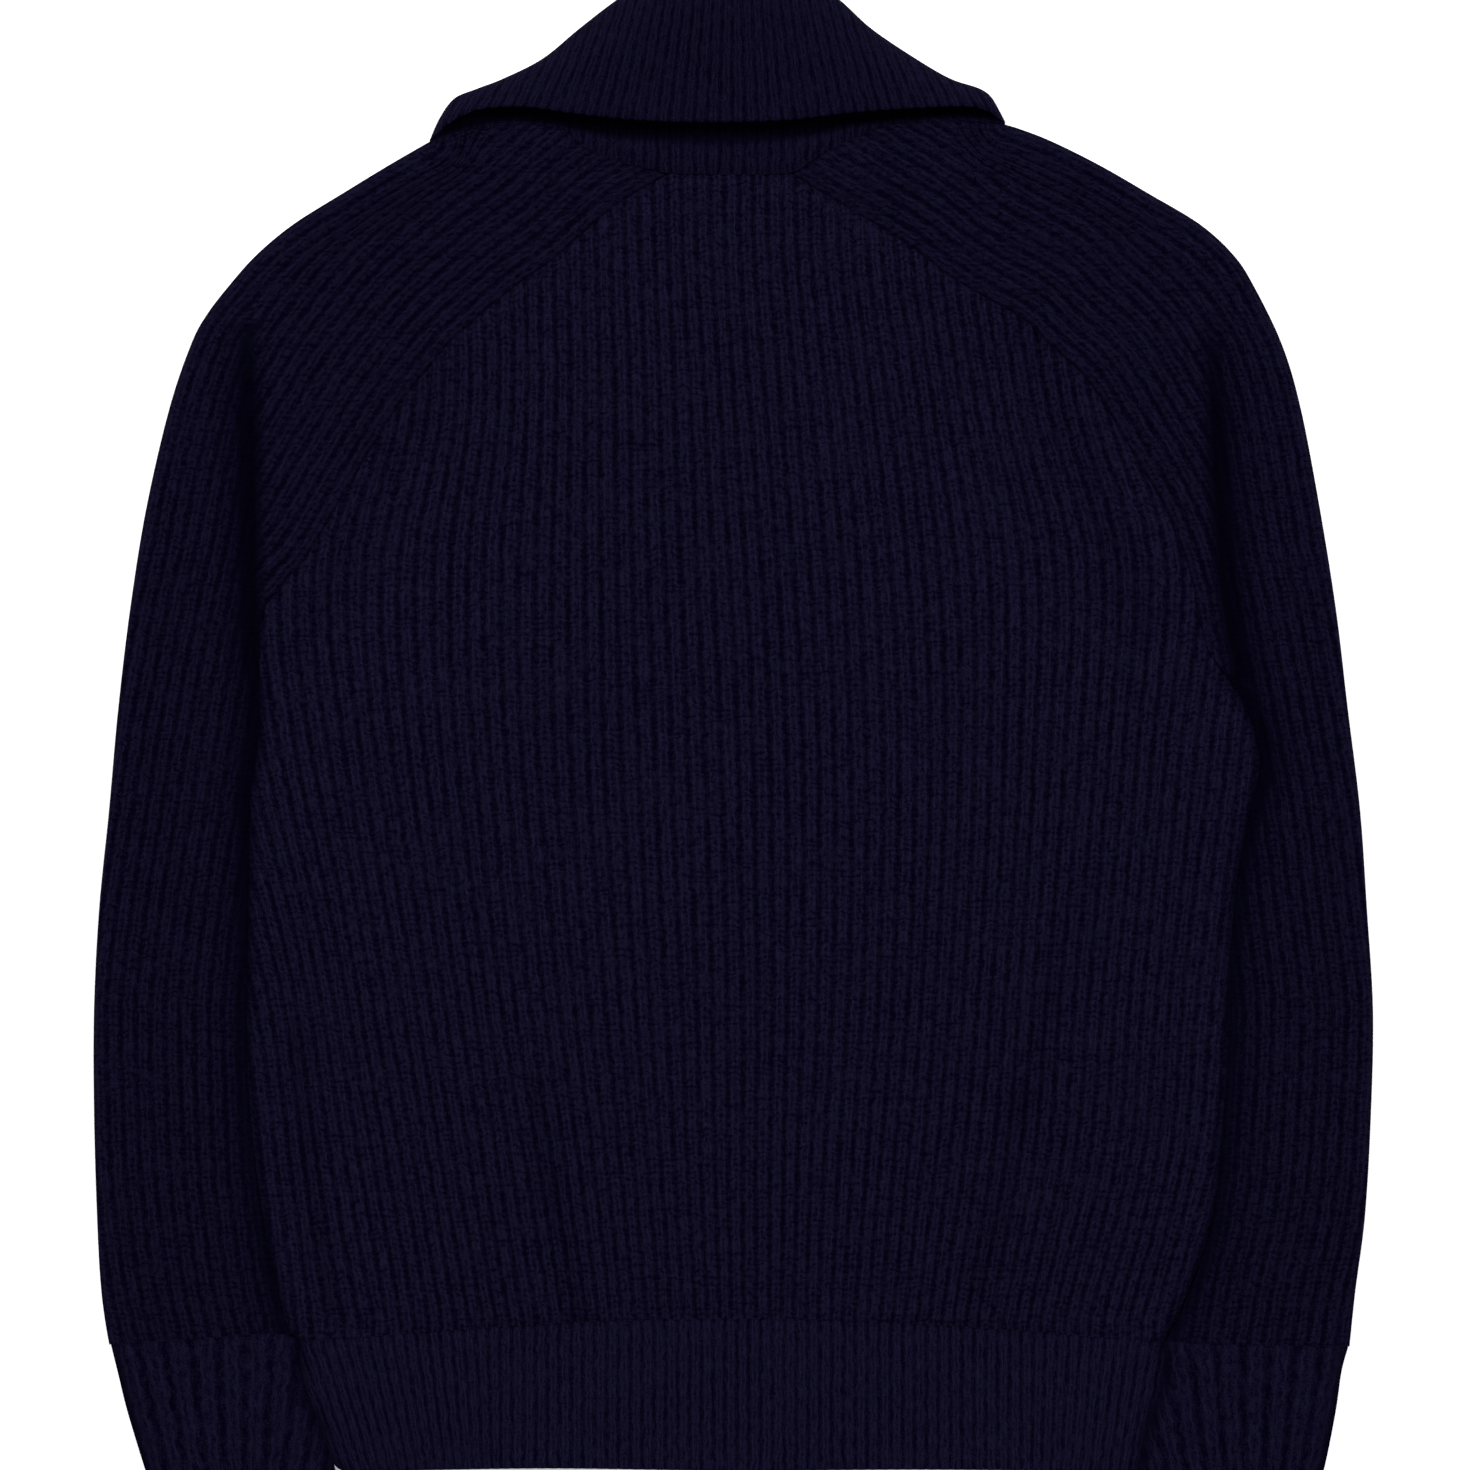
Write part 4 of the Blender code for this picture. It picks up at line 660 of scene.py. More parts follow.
def make_band(name, left, right, top_y, foot_y, ribs, high, rise, upper, lower, rows, dim):
    """A flattened tube between a left and a right curve, from its seam down to its free edge.

    ribs is a count, the x of both sides and the y at the seam, the y of the free edge, and a table of how
    far the ribs lean on their way down.  Its columns are the share of the width and the lean, and its first
    and last share may lie past the sides.  high is the band's level and rise that of its ribs.  upper, lower
    and rows size the grid.  dim is how much the whole band lies in shade.
    """
    count, first, last, seam_y, free_y, leans = ribs
    shares, amounts = np.array(leans).T
    middle_x = 0.5 * (left[0, 0] + right[0, 0])

    def rib_line(share, y):
        down = (seam_y - y) / (seam_y - free_y)
        return lerp(first, last, share) + down * np.interp(share, shares, amounts)

    def number_at(x, y):
        share = shares[0] + (x - rib_line(shares[0], y)) / (last - first)
        for one, two in zip(shares[:-1], shares[1:]):
            start, end = rib_line(one, y), rib_line(two, y)
            share = np.where(x > start, lerp(one, two, (x - start) / (end - start)), share)
        return count * share - 0.5

    def place_on_band(across, along, pull):
        """x, y, height on a fold, and whether it is the upper layer.  pull draws the inner face in."""
        place, level, is_upper = round_band(across, upper, lower)
        down = np.interp(along, *EDGE_ROWS)
        y = lerp(top_y(middle_x), foot_y(middle_x), down)
        line = lerp(shares[0], shares[-1], place)
        x = np.clip(rib_line(line, y), x_on(left, y), x_on(right, y))
        y = lerp(top_y(x) - SEAM_HALF_GAP, foot_y(x), down)
        tuck = pull + TUCK * (1.0 - round_over(2.0 * level, 1.0))
        left_x, right_x = x_on(left, y) + SEAM_HALF_GAP + tuck, x_on(right, y) - SEAM_HALF_GAP - tuck
        x = np.clip(rib_line(line, y), left_x, right_x)
        return np.where(place <= 0.0, left_x, np.where(place >= 1.0, right_x, x)), y, level, is_upper

    def side_distance(x, y):
        return np.minimum(distance(left, x, y), distance(right, x, y))

    def heights(x, y, number):
        """Height of the band in its grooves, height of its ribs, and how the free edge is rounded."""
        roll = round_over(side_distance(x, y), ROLL)
        ease = seam_ease(np.abs(top_y(x) - y))
        base = FOLD_TOP + (high - FOLD_TOP) * roll
        ribbed = base + roll * (rise * rib_profile(number) * ease - BAND_SEAM_DROP * (1.0 - ease))
        return base, ribbed, round_over(np.abs(y - foot_y(x)), EDGE_ROUND)

    def shade(x, y):
        """The band's sides lie in the shade of what is beside them."""
        at_side = 1.0 - soft_step(0.0, BAND_SHADE_REACH, side_distance(x, y))
        return dim + BAND_SHADE * at_side + seam_shade(top_y(x) - y)

    def outer_face(across, along):
        x, y, level, is_upper = place_on_band(across, along, 0.0)
        number = number_at(x, y)
        base, top, edge = heights(x, y, number)
        middle = 0.5 * (top + np.maximum(base - BAND_WALL, CEILING))
        lower_edge = EDGE_LEVEL + 2.0 * (level - 0.5)
        z = np.where(is_upper, lerp(middle, top, edge), lerp(lower_edge, FOLD_TOP * level, edge))
        return x, y, z, number, y / COURSE, np.where(is_upper, shade(x, y), 0.0)

    def inner_face(across, along):
        x, y, level, is_upper = place_on_band(across, along, BAND_WALL)
        number = number_at(x, y)
        ceiling = np.maximum(heights(x, y, number)[0] - BAND_WALL, CEILING)
        return x, y, np.where(is_upper, ceiling, lerp(LOWER_WALL, CEILING, level)), number, y / COURSE

    fine = (4 * FOLD_COLUMNS + upper + lower, rows)
    coarse = (fine[0] // 5 + 20, rows // 2)
    return cloth_sheet(name, fine, coarse, outer_face, inner_face, weld=0.01)


# %% Make the hem
HEM_RIBS = 73
HEM_FRAME = (-225.4, 222.8, -314.6, -382.2)       # x of both sides, y of the seam, y of the free edge
HEM_LEAN = ((-0.04, 27.0), (0.24, 0.0), (0.84, 0.0), (1.04, -16.0))
HEM_FOOT_CURVE = smooth_curve(HEM_BOTTOM)
hem = make_band(
    "hem_rib", smooth_curve(HEM_SIDE["left"]), smooth_curve(HEM_SIDE["right"]), hem_seam_y,
    lambda x: y_on(HEM_FOOT_CURVE, x), (HEM_RIBS, *HEM_FRAME, HEM_LEAN), high=SLEEVE_TOP, rise=1.9,
    upper=640, lower=150, rows=34, dim=0.0)

# %% Make the cuffs
CUFF_RIBS = 7
CUFF_TOP, CUFF_FOOT = 7.2, -403.0       # height of the cloth, and y of the free edge
# Straight ribs, which draw together towards the middle of a cuff's free edge.  Columns: share, lean.
CUFF_LEAN = {"left": ((-0.1, 28.5), (1.7, -34.5)), "right": ((-0.7, 40.5), (1.1, -22.5))}
CUFF_SEAM = {"left": (-323.0, -225.4, -316.0), "right": (222.8, 319.0, -317.0)}      # left x, right x, y
CUFF_SIDES = {"left": (CUFF_OUT["left"], CUFF_IN["left"]), "right": (CUFF_IN["right"], CUFF_OUT["right"])}
cuffs = {
    side: make_band(
        f"cuff_{side}_rib", *CUFF_SIDES[side], lambda x, side=side: y_on(SLEEVE_END_CURVE[side], x),
        lambda x: CUFF_FOOT + 0.0 * x, (CUFF_RIBS, *CUFF_SEAM[side], CUFF_FOOT, CUFF_LEAN[side]),
        high=CUFF_TOP, rise=2.6, upper=200, lower=50, rows=44, dim=0.22)
    for side in SIGN
}

# %% [markdown]
# ## The collar
# The collar is one long strip of close ribbing.  It stands up from the neck seam, folds over, and falls
# back down over itself.  Two sheets would part at the fold, where the real cloth runs on.  So one grid
# starts at the free edge of the fall, goes up to the fold, round it, and down the stand to the neck
# seam.  Its columns are the ribs, which draw together towards the top.

# %% Ribs and heights of the collar
COLLAR_PITCH = 6.45
COLLAR_FAN, FAN_BASE = 0.0038, 318.0     # ribs draw together by this share of x for each mm above the base
FALL_MIDDLE = -4.0
FALL_EDGE, FALL_PUFF, FALL_ROLL, FALL_WALL = 5.6, 18.0, 42.0, 3.0
FALL_RIM_DROP = 1.6         # the free edge of the fall is rounded down by this much
FOLD_CALM = (2.0, 24.0)     # the ribs rise between these distances from the fold
STAND_CLEAR = 5.2           # the stand keeps this far below the fall's upper face
STAND_LOWEST = 3.4
COLLAR_RISE = 1.8
SCALLOP = 0.9               # each rib pushes the free edge out by this much
COLLAR_SHADE = 0.3          # painted shade: the collar is a little darker than the back all over
UNDER_FALL = 0.1            # added shade on the fall's underside
HIDDEN_STAND = 0.5          # added shade on the part of the stand that the fall covers
CRESCENT_PUFF, CRESCENT_LIFT = 1.4, 0.4
CRESCENT_ARC = (0.12, 0.94)              # the part of half a turn that its section follows
CRESCENT_EDGE = (-2.0, 2.5)              # it sinks under the fall between these heights past its edge
STAND_BASE, STAND_FLAT, STAND_FADE = 8.4, 12.0, 42.0
TRENCH_Y, TRENCH_HALF, TRENCH_DEPTH = 314.0, 9.0, 1.4       # the stand dips under the fall's free edge
TRENCH_WALL = 1.3
# The stand shows below the fall as a puffed crescent.  Columns: x, y of its upper edge.
CRESCENT_TOP = (
    (-157.8, 309.0), (-120.0, 317.5), (-98.0, 317.4), (-84.0, 315.2), (-70.0, 311.6), (-60.0, 309.5),
    (-40.0, 307.5), (-3.0, 305.5), (31.0, 308.5), (51.0, 313.6), (63.0, 316.6), (85.0, 319.0),
    (110.0, 320.4), (141.2, 318.0),
)
CRESCENT = smooth_curve(CRESCENT_TOP)
FOLD = smooth_curve(COLLAR_FOLD)
LEAF = smooth_curve((COLLAR_FOLD[0],) + LEAF_EDGE + (COLLAR_FOLD[-1],))
COLLAR_COLUMNS = 376
FALL_SHARE, FOLD_SHARE = 0.72, 0.78      # shares of the outer face's rows at the fold's two ends
# Share of the rows, and the way along the cloth: 1 at the fold, 2 at the neck seam.
OUTER_ROWS = (0.0, 0.12, FALL_SHARE, FOLD_SHARE, 1.0), (0.0, 0.035, 1.0, 1.0, 2.0)
INNER_ROWS = (0.0, 0.34, 0.52, 1.0), (0.0, 1.0, 1.66, 2.0)
INNER_INSET, INSET_REACH = 2.0, 12.0     # the inner face turns this far inside, where the fall is this long
FOLD_LIMIT = 404.0          # above the whole fold
HALVINGS = 24               # steps of the search for the fold
END_INSET = 0.3             # keeps the ends of the collar from running out to a point


def fan_x(foot, y):
    """The x of a rib above its foot."""
    return foot * (1.0 - COLLAR_FAN * np.maximum(0.0, y - FAN_BASE))


def fold_y(foot):
    """Where a rib of the collar meets the fold."""
    low, high = y_on(LEAF, foot), np.full(np.shape(foot), FOLD_LIMIT)
    for _ in range(HALVINGS):
        middle = 0.5 * (low + high)
        above = middle > y_on(FOLD, fan_x(foot, middle))
        low, high = np.where(above, low, middle), np.where(above, middle, high)
    return low


def fall_top(x, y):
    """Height of the fall in its grooves."""
    return FALL_EDGE + FALL_PUFF * round_over(distance(FOLD, x, y), FALL_ROLL)


def stand_underside(x, y):
    """Height of the stand's lower face: it lies on the back and dips under the fall."""
    middle = STAND_BASE - TRENCH_DEPTH * np.exp(-(((y - TRENCH_Y) / TRENCH_HALF) ** 2))
    low = LOW + (middle - LOW) * np.exp(-((np.maximum(0.0, np.abs(x) - STAND_FLAT) / STAND_FADE) ** 2))
    return np.clip(fall_top(x, y) - STAND_CLEAR, STAND_LOWEST, low)


def collar_place(across, along, fold_inset):
    """x, y, rib number, and how far along fall (0 to 1) or stand (1 to 2) a point is."""
    foot = lerp(FOLD[0, 0] + END_INSET, FOLD[-1, 0] - END_INSET, across)
    number = (foot - FALL_MIDDLE) / COLLAR_PITCH
    top = fold_y(foot)
    top = top - fold_inset * soft_step(0.0, INSET_REACH, top - y_on(LEAF, foot))
    leaf = y_on(LEAF, foot) - SCALLOP * rib_profile(number)
    seam = y_on(NECK, foot) + SEAM_HALF_GAP
    y = np.where(along < 1.0, lerp(np.minimum(leaf, top), top, along), lerp(top, seam, along - 1.0))
    return fan_x(foot, y), y, number


def collar_outer(across, along):
    x, y, number = collar_place(across, np.interp(along, *OUTER_ROWS), 0.0)
    fade = soft_step(*FOLD_CALM, distance(FOLD, x, y))
    edge = round_over(np.maximum(0.0, y - y_on(LEAF, x) + SCALLOP), FALL_WALL)
    top = fall_top(x, y) + COLLAR_RISE * rib_profile(number) * fade - FALL_RIM_DROP * (1.0 - edge)
    turn = soft_step(FALL_SHARE, FOLD_SHARE, along)
    z = np.where(along <= FALL_SHARE, top, lerp(FALL_EDGE, stand_underside(x, y), turn))
    return x, y, z, number, y / COURSE, COLLAR_SHADE


def collar_inner(across, along):
    way = np.interp(along, *INNER_ROWS)
    x, y, number = collar_place(across, way, INNER_INSET)
    under = fall_top(x, y) - FALL_WALL
    low, high = y_on(NECK, x), y_on(CRESCENT, x)
    share = np.clip((y - low) / np.maximum(high - low, 1.0), 0.0, 1.0)
    shown = 1.0 - soft_step(*CRESCENT_EDGE, y - high)
    crest = rib_profile(number) * seam_ease(y - low)
    swell = CRESCENT_PUFF * np.sin(math.pi * lerp(*CRESCENT_ARC, share))
    puff = RIM - TRENCH_WALL + CRESCENT_LIFT + COLLAR_RISE * crest + swell
    over = stand_underside(x, y) + TRENCH_WALL + shown * puff
    # Painted shade: under the fall, on the stand where the fall covers it, and along the neck seam.
    painted_shade = np.where(way <= 1.0, UNDER_FALL, np.maximum(HIDDEN_STAND * (1.0 - shown), seam_shade(y - low)))
    return x, y, np.where(way <= 1.0, under, over), number, y / COURSE, painted_shade + COLLAR_SHADE


collar_grids = (COLLAR_COLUMNS, 56), (COLLAR_COLUMNS - 1, 46)
collar = cloth_sheet("collar_rib", *collar_grids, collar_outer, collar_inner)

# %% [markdown]
# ## The hidden front
# The front lies underneath.  It is one panel with a slit for the zip, and the collar's two front
# stretches carry the slit on up.  A Boolean could cut the slit, but it would leave long thin triangles.
# So the cut is a notch in the grid, made before the two faces are joined.  Beside the zip the cloth is
# lifted a little, because the slider is thicker than the cloth.

# %% Heights and outlines beside the zip
CHANNEL_HALF = 6.5
ZIP_BOTTOM = 61.0
LIFT, LIFT_REACH, LIFT_START = 2.2, 34.0, 20.0    # mm, x where it ends, y where it begins
NECKLINE_DIP, NECK_TOP = 226.0, 291.2
NECKLINE_BEND = 2.4         # power of the neckline's curve
NECK_LEFT, NECK_RIGHT = -32.0, 28.3
FRONT_WALL = 3.0


def zip_lift(x, y):
    beside = 1.0 - soft_step(CHANNEL_HALF, LIFT_REACH, np.abs(x))
    return LIFT * beside * soft_step(LIFT_START, ZIP_BOTTOM, y)


def flat_faces(place, pitch):
    """The outer and the inner face of a layer that lies flat, but for its lift beside the zip."""
    def face_at(height):
        def face(across, along):
            x, y = place(across, along)
            return x, y, height + zip_lift(x, y), x / pitch, y / COURSE
        return face

    return face_at(0.0), face_at(FRONT_WALL)


def neckline_y(x):
    share = np.clip((x - NECK_LEFT) / (NECK_RIGHT - NECK_LEFT) * 2.0 - 1.0, -1.0, 1.0)
    return NECKLINE_DIP + (NECK_TOP - NECKLINE_DIP) * np.abs(share) ** NECKLINE_BEND


def slit_x(y, sign):
    """Edge of the slit, which opens into the neckline at its top."""
    share = np.clip((y - NECKLINE_DIP) / (NECK_TOP - NECKLINE_DIP), 0.0, 1.0) ** (1.0 / NECKLINE_BEND)
    middle, half = 0.5 * (NECK_LEFT + NECK_RIGHT), 0.5 * (NECK_RIGHT - NECK_LEFT)
    return sign * np.maximum(CHANNEL_HALF, sign * (middle + sign * half * share)) + sign * SEAM_HALF_GAP


# %% Make the front panel
FRONT_GRID = (84, 120)
SLIT_SHARE = 2.0 / FRONT_GRID[0]         # half the slit is two columns wide
SLIT_START = 73.0 / FRONT_GRID[1]        # and it starts above this many rows
FOOT_BLEND = -200.0         # below this y the rows bend to the hem's seam


def front_place(across, along):
    """x and y of a point of the front, with the slit's columns along the slit."""
    y_low = hem_seam_y(0.0) + SEAM_HALF_GAP
    y = np.interp(along, (0.0, SLIT_START, 1.0), (y_low, ZIP_BOTTOM, BACK_TOP - SEAM_HALF_GAP))
    left, right = x_on(BODY["left"], y) + SEAM_HALF_GAP, x_on(BODY["right"], y) - SEAM_HALF_GAP
    knots = (0.0, 0.5 - SLIT_SHARE, 0.5 + SLIT_SHARE, 1.0)
    x = np.zeros(np.shape(across))
    ends = (left, slit_x(y, -1.0), slit_x(y, 1.0), right)
    for k in range(3):
        share = np.clip((across - knots[k]) / (knots[k + 1] - knots[k]), 0.0, 1.0)
        x = np.where(across >= knots[k], lerp(ends[k], ends[k + 1], share), x)
    low = soft_step(FOOT_BLEND, y_low, y)
    return x, y + low * (hem_seam_y(x) - hem_seam_y(0.0))


def in_slit(across, along):
    return abs(across - 0.5) < SLIT_SHARE and along > SLIT_START


front_faces = flat_faces(front_place, BODY_PITCH)
front = cloth_sheet("front_panel", FRONT_GRID, FRONT_GRID, *front_faces, notch=in_slit)

# %% Make the collar's front stretches
# Between the collar's fold and the zip, the upper edge dips.  Columns: x, y.
DIP = {"left": smooth_curve(((-62.0, 380.6), (-40.0, 358.0), (-6.5, 352.0))),
       "right": smooth_curve(((6.5, 352.0), (40.0, 358.0), (62.0, 375.8)))}
DIP_END = 62.0
COLLAR_FRONT_GRIDS = (90, 50), (60, 30)
FOLD_END = {"left": abs(FOLD[0, 0]), "right": abs(FOLD[-1, 0])}


def make_collar_front(side):
    sign = SIGN[side]

    def place(across, along):
        x = sign * lerp(CHANNEL_HALF + SEAM_HALF_GAP, FOLD_END[side] - END_INSET, across)
        inside_neck = (x > NECK_LEFT) & (x < NECK_RIGHT)
        low = np.where(inside_neck, neckline_y(x), y_on(NECK, x)) + SEAM_HALF_GAP
        high = np.where(np.abs(x) < DIP_END, y_on(DIP[side], x), y_on(FOLD, x)) - SEAM_HALF_GAP
        return x, lerp(low, np.maximum(high, low), along)

    faces = flat_faces(place, COLLAR_PITCH)
    return cloth_sheet(f"collar_front_{side}_rib", *COLLAR_FRONT_GRIDS, *faces)


collar_fronts = {side: make_collar_front(side) for side in SIGN}

# %% [markdown]
# ## The knit itself
# A rib is a column of stitches.  Each stitch is a V whose two legs catch the light, with a dark tick
# where the next one begins, and the grooves between ribs are dark.  This light and shade is also painted
# into the colour: painted highlight on the legs, painted shade in the ticks and grooves, and painted shade
# in folds and creases.  The UV map counts ribs across and rows along, so the stitches follow every curve
# of the cloth.  The ribs are real shape.  Only the stitches are bump, because there are some thirty
# thousand of them.  Wool is matt: hardly any gloss, and a trace of sheen from its fuzz.

# %% Small helpers for node trees
def new_finish(name):
    """A new material, its node tree and its shader."""
    material = bpy.data.materials.new(name)
    material.use_nodes = True
    return material, material.node_tree, material.node_tree.nodes["Principled BSDF"]


def set_inputs(node, values):
    for name, value in values.items():
        node.inputs[name].default_value = value


def object_place(tree):
    return tree.nodes.new("ShaderNodeTexCoord").outputs["Object"]


def add_bump(tree, shader, height, depth):
    """Bump of so many millimetres on a shader."""
    bump = tree.nodes.new("ShaderNodeBump")
    set_inputs(bump, {"Distance": depth * MM, "Strength": 1.0})
    tree.links.new(height, bump.inputs["Height"])
    tree.links.new(bump.outputs["Normal"], shader.inputs["Normal"])


def maths(tree, operation, *values, clamp=False):
    """One Math node.  Each value is a number or another node's output."""
    node = tree.nodes.new("ShaderNodeMath")
    node.operation = operation
    node.use_clamp = clamp
    for socket, value in zip(node.inputs, values):
        if isinstance(value, (int, float)):
            socket.default_value = value
        else:
            tree.links.new(value, socket)
    return node.outputs[0]


def ramp_up(tree, value, low, high, start=0.0, end=1.0):
    """A smooth step from start to end, as the value goes from low to high."""
    node = tree.nodes.new("ShaderNodeMapRange")
    node.interpolation_type = "SMOOTHSTEP"
    tree.links.new(value, node.inputs["Value"])
    set_inputs(node, {"From Min": low, "From Max": high, "To Min": start, "To Max": end})
    return node.outputs["Result"]


def noise(tree, place, scale, detail=2.0, roughness=0.5):
    """Cloudy noise with so many spots to a metre."""
    node = tree.nodes.new("ShaderNodeTexNoise")
    tree.links.new(place, node.inputs["Vector"])
    set_inputs(node, {"Scale": scale, "Detail": detail, "Roughness": roughness})
    return node.outputs["Fac"]


def mix_colour(tree, share, one, two):
    """A colour between two, each a colour or another node's output."""
    node = tree.nodes.new("ShaderNodeMix")
    node.data_type = "RGBA"
    tree.links.new(share, node.inputs[0])
    for socket, value in ((node.inputs[6], one), (node.inputs[7], two)):
        if isinstance(value, tuple):
            socket.default_value = (*value, 1.0)
        else:
            tree.links.new(value, socket)
    return node.outputs[2]


# %% The knit finish
# Lit and shaded copies of the navy: the crest colour is lit, the groove and fold colours are painted shade.
CREST_LIT_COLOUR = (0.0080, 0.0067, 0.0216)
GROOVE_SHADE_COLOUR = (0.0008, 0.0003, 0.0048)
PAINTED_SHADE_COLOUR = (0.0003, 0.0001, 0.0024)
STITCH_SLANT = 0.42         # how far a leg of the V climbs over half a rib, in rows
STITCH_DEPTH = 0.7
STITCH_EDGE = 0.45          # power that narrows the dark tick between stitches
RIDGE_ASIDE = 0.38          # painted highlight: each leg of the V is brightest this far from the rib's middle
ROW_WOBBLE, RIB_WOBBLE = 2.2, 0.36       # how far rows and ribs stray, in rows and in ribs
STRANDS = (8.0, 0.4)        # streaks to a rib and to a row
FUZZ_CONTRAST, GRAIN_CONTRAST = 2.1, 0.9
PAINTED_SHADE_STRENGTH = 0.94
# Spots to a metre of each noise.
SPOTS = {"row": 120.0, "rib": 190.0, "patch": 240.0, "calm": 60.0, "heather": 330.0, "fuzz": 1500.0}


def rib_and_row(tree, place, rows):
    """The rib and the row of stitches at each point, both a little uneven, as real knitting is."""
    uv = tree.nodes.new("ShaderNodeUVMap")
    uv.uv_map = "knit"
    split = tree.nodes.new("ShaderNodeSeparateXYZ")
    tree.links.new(uv.outputs["UV"], split.inputs["Vector"])
    row = maths(tree, "MULTIPLY", split.outputs["Y"], rows)
    row = maths(tree, "MULTIPLY_ADD", noise(tree, place, SPOTS["row"]), ROW_WOBBLE, row)
    drift = maths(tree, "MULTIPLY_ADD", noise(tree, place, SPOTS["rib"]), RIB_WOBBLE, -0.5 * RIB_WOBBLE)
    return maths(tree, "ADD", split.outputs["X"], drift), row


def yarn_strands(tree, rib, row):
    """Long streaks that run along a rib, as the plies of the yarn do."""
    ply = tree.nodes.new("ShaderNodeCombineXYZ")
    for axis, way, streaks in zip("XY", (rib, row), STRANDS):
        tree.links.new(maths(tree, "MULTIPLY", way, streaks), ply.inputs[axis])
    return noise(tree, ply.outputs["Vector"], 1.0, 3.0, 0.6)


def knit_finish(name, tick, streak, mottle, rows=1.0):
    """Navy knit.  tick, streak and mottle say how clearly stitches, yarn and its mixed tones show."""
    material, tree, shader = new_finish(name)
    place = object_place(tree)
    rib, row = rib_and_row(tree, place, rows)
    aside = maths(tree, "MULTIPLY", maths(tree, "PINGPONG", rib, 0.5), 2.0)
    flank = ramp_up(tree, aside, 0.5, 0.98, 1.0, 0.0)
    seam = ramp_up(tree, aside, 0.0, 0.2, 1.0, 0.0)
    off_ridge = maths(tree, "ABSOLUTE", maths(tree, "SUBTRACT", aside, RIDGE_ASIDE))
    ridge = ramp_up(tree, off_ridge, 0.02, 0.16, 1.0, 0.0)

    slant = maths(tree, "MULTIPLY_ADD", aside, STITCH_SLANT, row)
    wave = maths(tree, "COSINE", maths(tree, "MULTIPLY", slant, 2.0 * math.pi))
    stitch = maths(tree, "POWER", maths(tree, "MULTIPLY_ADD", wave, 0.5, 0.5), STITCH_EDGE)
    patch = noise(tree, place, SPOTS["patch"], 1.0)
    show = maths(tree, "MULTIPLY", ramp_up(tree, patch, 0.34, 0.64, 0.1, 1.0), tick)
    gap = maths(tree, "MULTIPLY", maths(tree, "SUBTRACT", 1.0, stitch), show)

    strand = yarn_strands(tree, rib, row)
    fuzz = noise(tree, place, SPOTS["fuzz"], 1.0, 0.7)
    calm = ramp_up(tree, noise(tree, place, SPOTS["calm"]), 0.35, 0.65, 0.55, 1.1)
    heather = noise(tree, place, SPOTS["heather"], 2.0, 0.6)

    # Painted shade in the grooves, between the legs and in the ticks between stitches; painted highlight on
    # each leg.
    dark = maths(tree, "MULTIPLY", maths(tree, "SUBTRACT", 1.0, flank), calm)
    lit = 0.5
    for part, weight in ((dark, -0.4), (ridge, 0.3), (seam, -0.1), (gap, -0.5)):
        lit = maths(tree, "MULTIPLY_ADD", part, weight, lit)
    grain = maths(tree, "MULTIPLY", maths(tree, "SUBTRACT", strand, 0.5), streak)
    grain = maths(tree, "MULTIPLY_ADD", maths(tree, "SUBTRACT", fuzz, 0.5), FUZZ_CONTRAST, grain)
    lit = maths(tree, "MULTIPLY_ADD", maths(tree, "SUBTRACT", heather, 0.5), mottle, lit)
    lit = maths(tree, "MULTIPLY_ADD", grain, GRAIN_CONTRAST, lit, clamp=True)
    colour = mix_colour(tree, lit, GROOVE_SHADE_COLOUR, CREST_LIT_COLOUR)
    # Painted shade: the colour darkens towards the shade colour as far as the attribute says, most in folds
    # and creases.
    fold = tree.nodes.new("ShaderNodeAttribute")
    fold.attribute_name = "painted_shade"
    darkness = maths(tree, "MULTIPLY", fold.outputs["Fac"], PAINTED_SHADE_STRENGTH)
    colour = mix_colour(tree, darkness, colour, PAINTED_SHADE_COLOUR)
    tree.links.new(colour, shader.inputs["Base Color"])

    height = maths(tree, "MULTIPLY_ADD", gap, -0.8, maths(tree, "MULTIPLY", seam, -0.15))
    height = maths(tree, "MULTIPLY_ADD", grain, 0.6, height)
    add_bump(tree, shader, height, STITCH_DEPTH)
    tree.links.new(ramp_up(tree, fuzz, 0.3, 0.7, 0.84, 0.98), shader.inputs["Roughness"])
    set_inputs(shader, {"Specular IOR Level": 0.01, "Sheen Weight": 0.008, "Sheen Roughness": 0.5,
                        "Sheen Tint": (0.35, 0.3, 0.9, 1.0)})
    print(f"{name}: {len(tree.nodes)} nodes")
    return material


knit = knit_finish("navy_half_cardigan", tick=0.95, streak=1.4, mottle=1.0)
rib_knit = knit_finish("navy_close_rib", tick=0.25, streak=2.2, mottle=0.5, rows=1.2)


def dress(piece, node, material):
    """Give a piece its finish, and let it stand for its node."""
    piece.data.materials.append(material)
    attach(piece, "garment")
    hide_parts(node)


dress(back, "back", knit)
dress(front, "front", knit)
dress(hem, "hem", rib_knit)
dress(collar, "collar", rib_knit)
for side in SIGN:
    dress(sleeves[side], f"sleeve_{side}", knit)
    dress(cuffs[side], f"cuff_{side}", rib_knit)
    dress(collar_fronts[side], f"collar_front_{side}", rib_knit)

# %% [markdown]
# A sleeve, cuff or hem is one piece all round, so its flat width is about twice what shows.  The collar is
# as high as stand and fall together.

# %% [markdown]
# ## The zip
# The zip is bought ready made: two woven tapes with cast teeth, a crimp at the foot, and a cast slider
# with a stamped tab.  The tapes are thin sheets.  An Array modifier could repeat a tooth, but a loop
# places both rows with one rule: the teeth of one side stand in the gaps of the other.  Slider and tab
# are plates cut to an outline, with their rims rounded, because stamped and cast metal has no sharp rim.

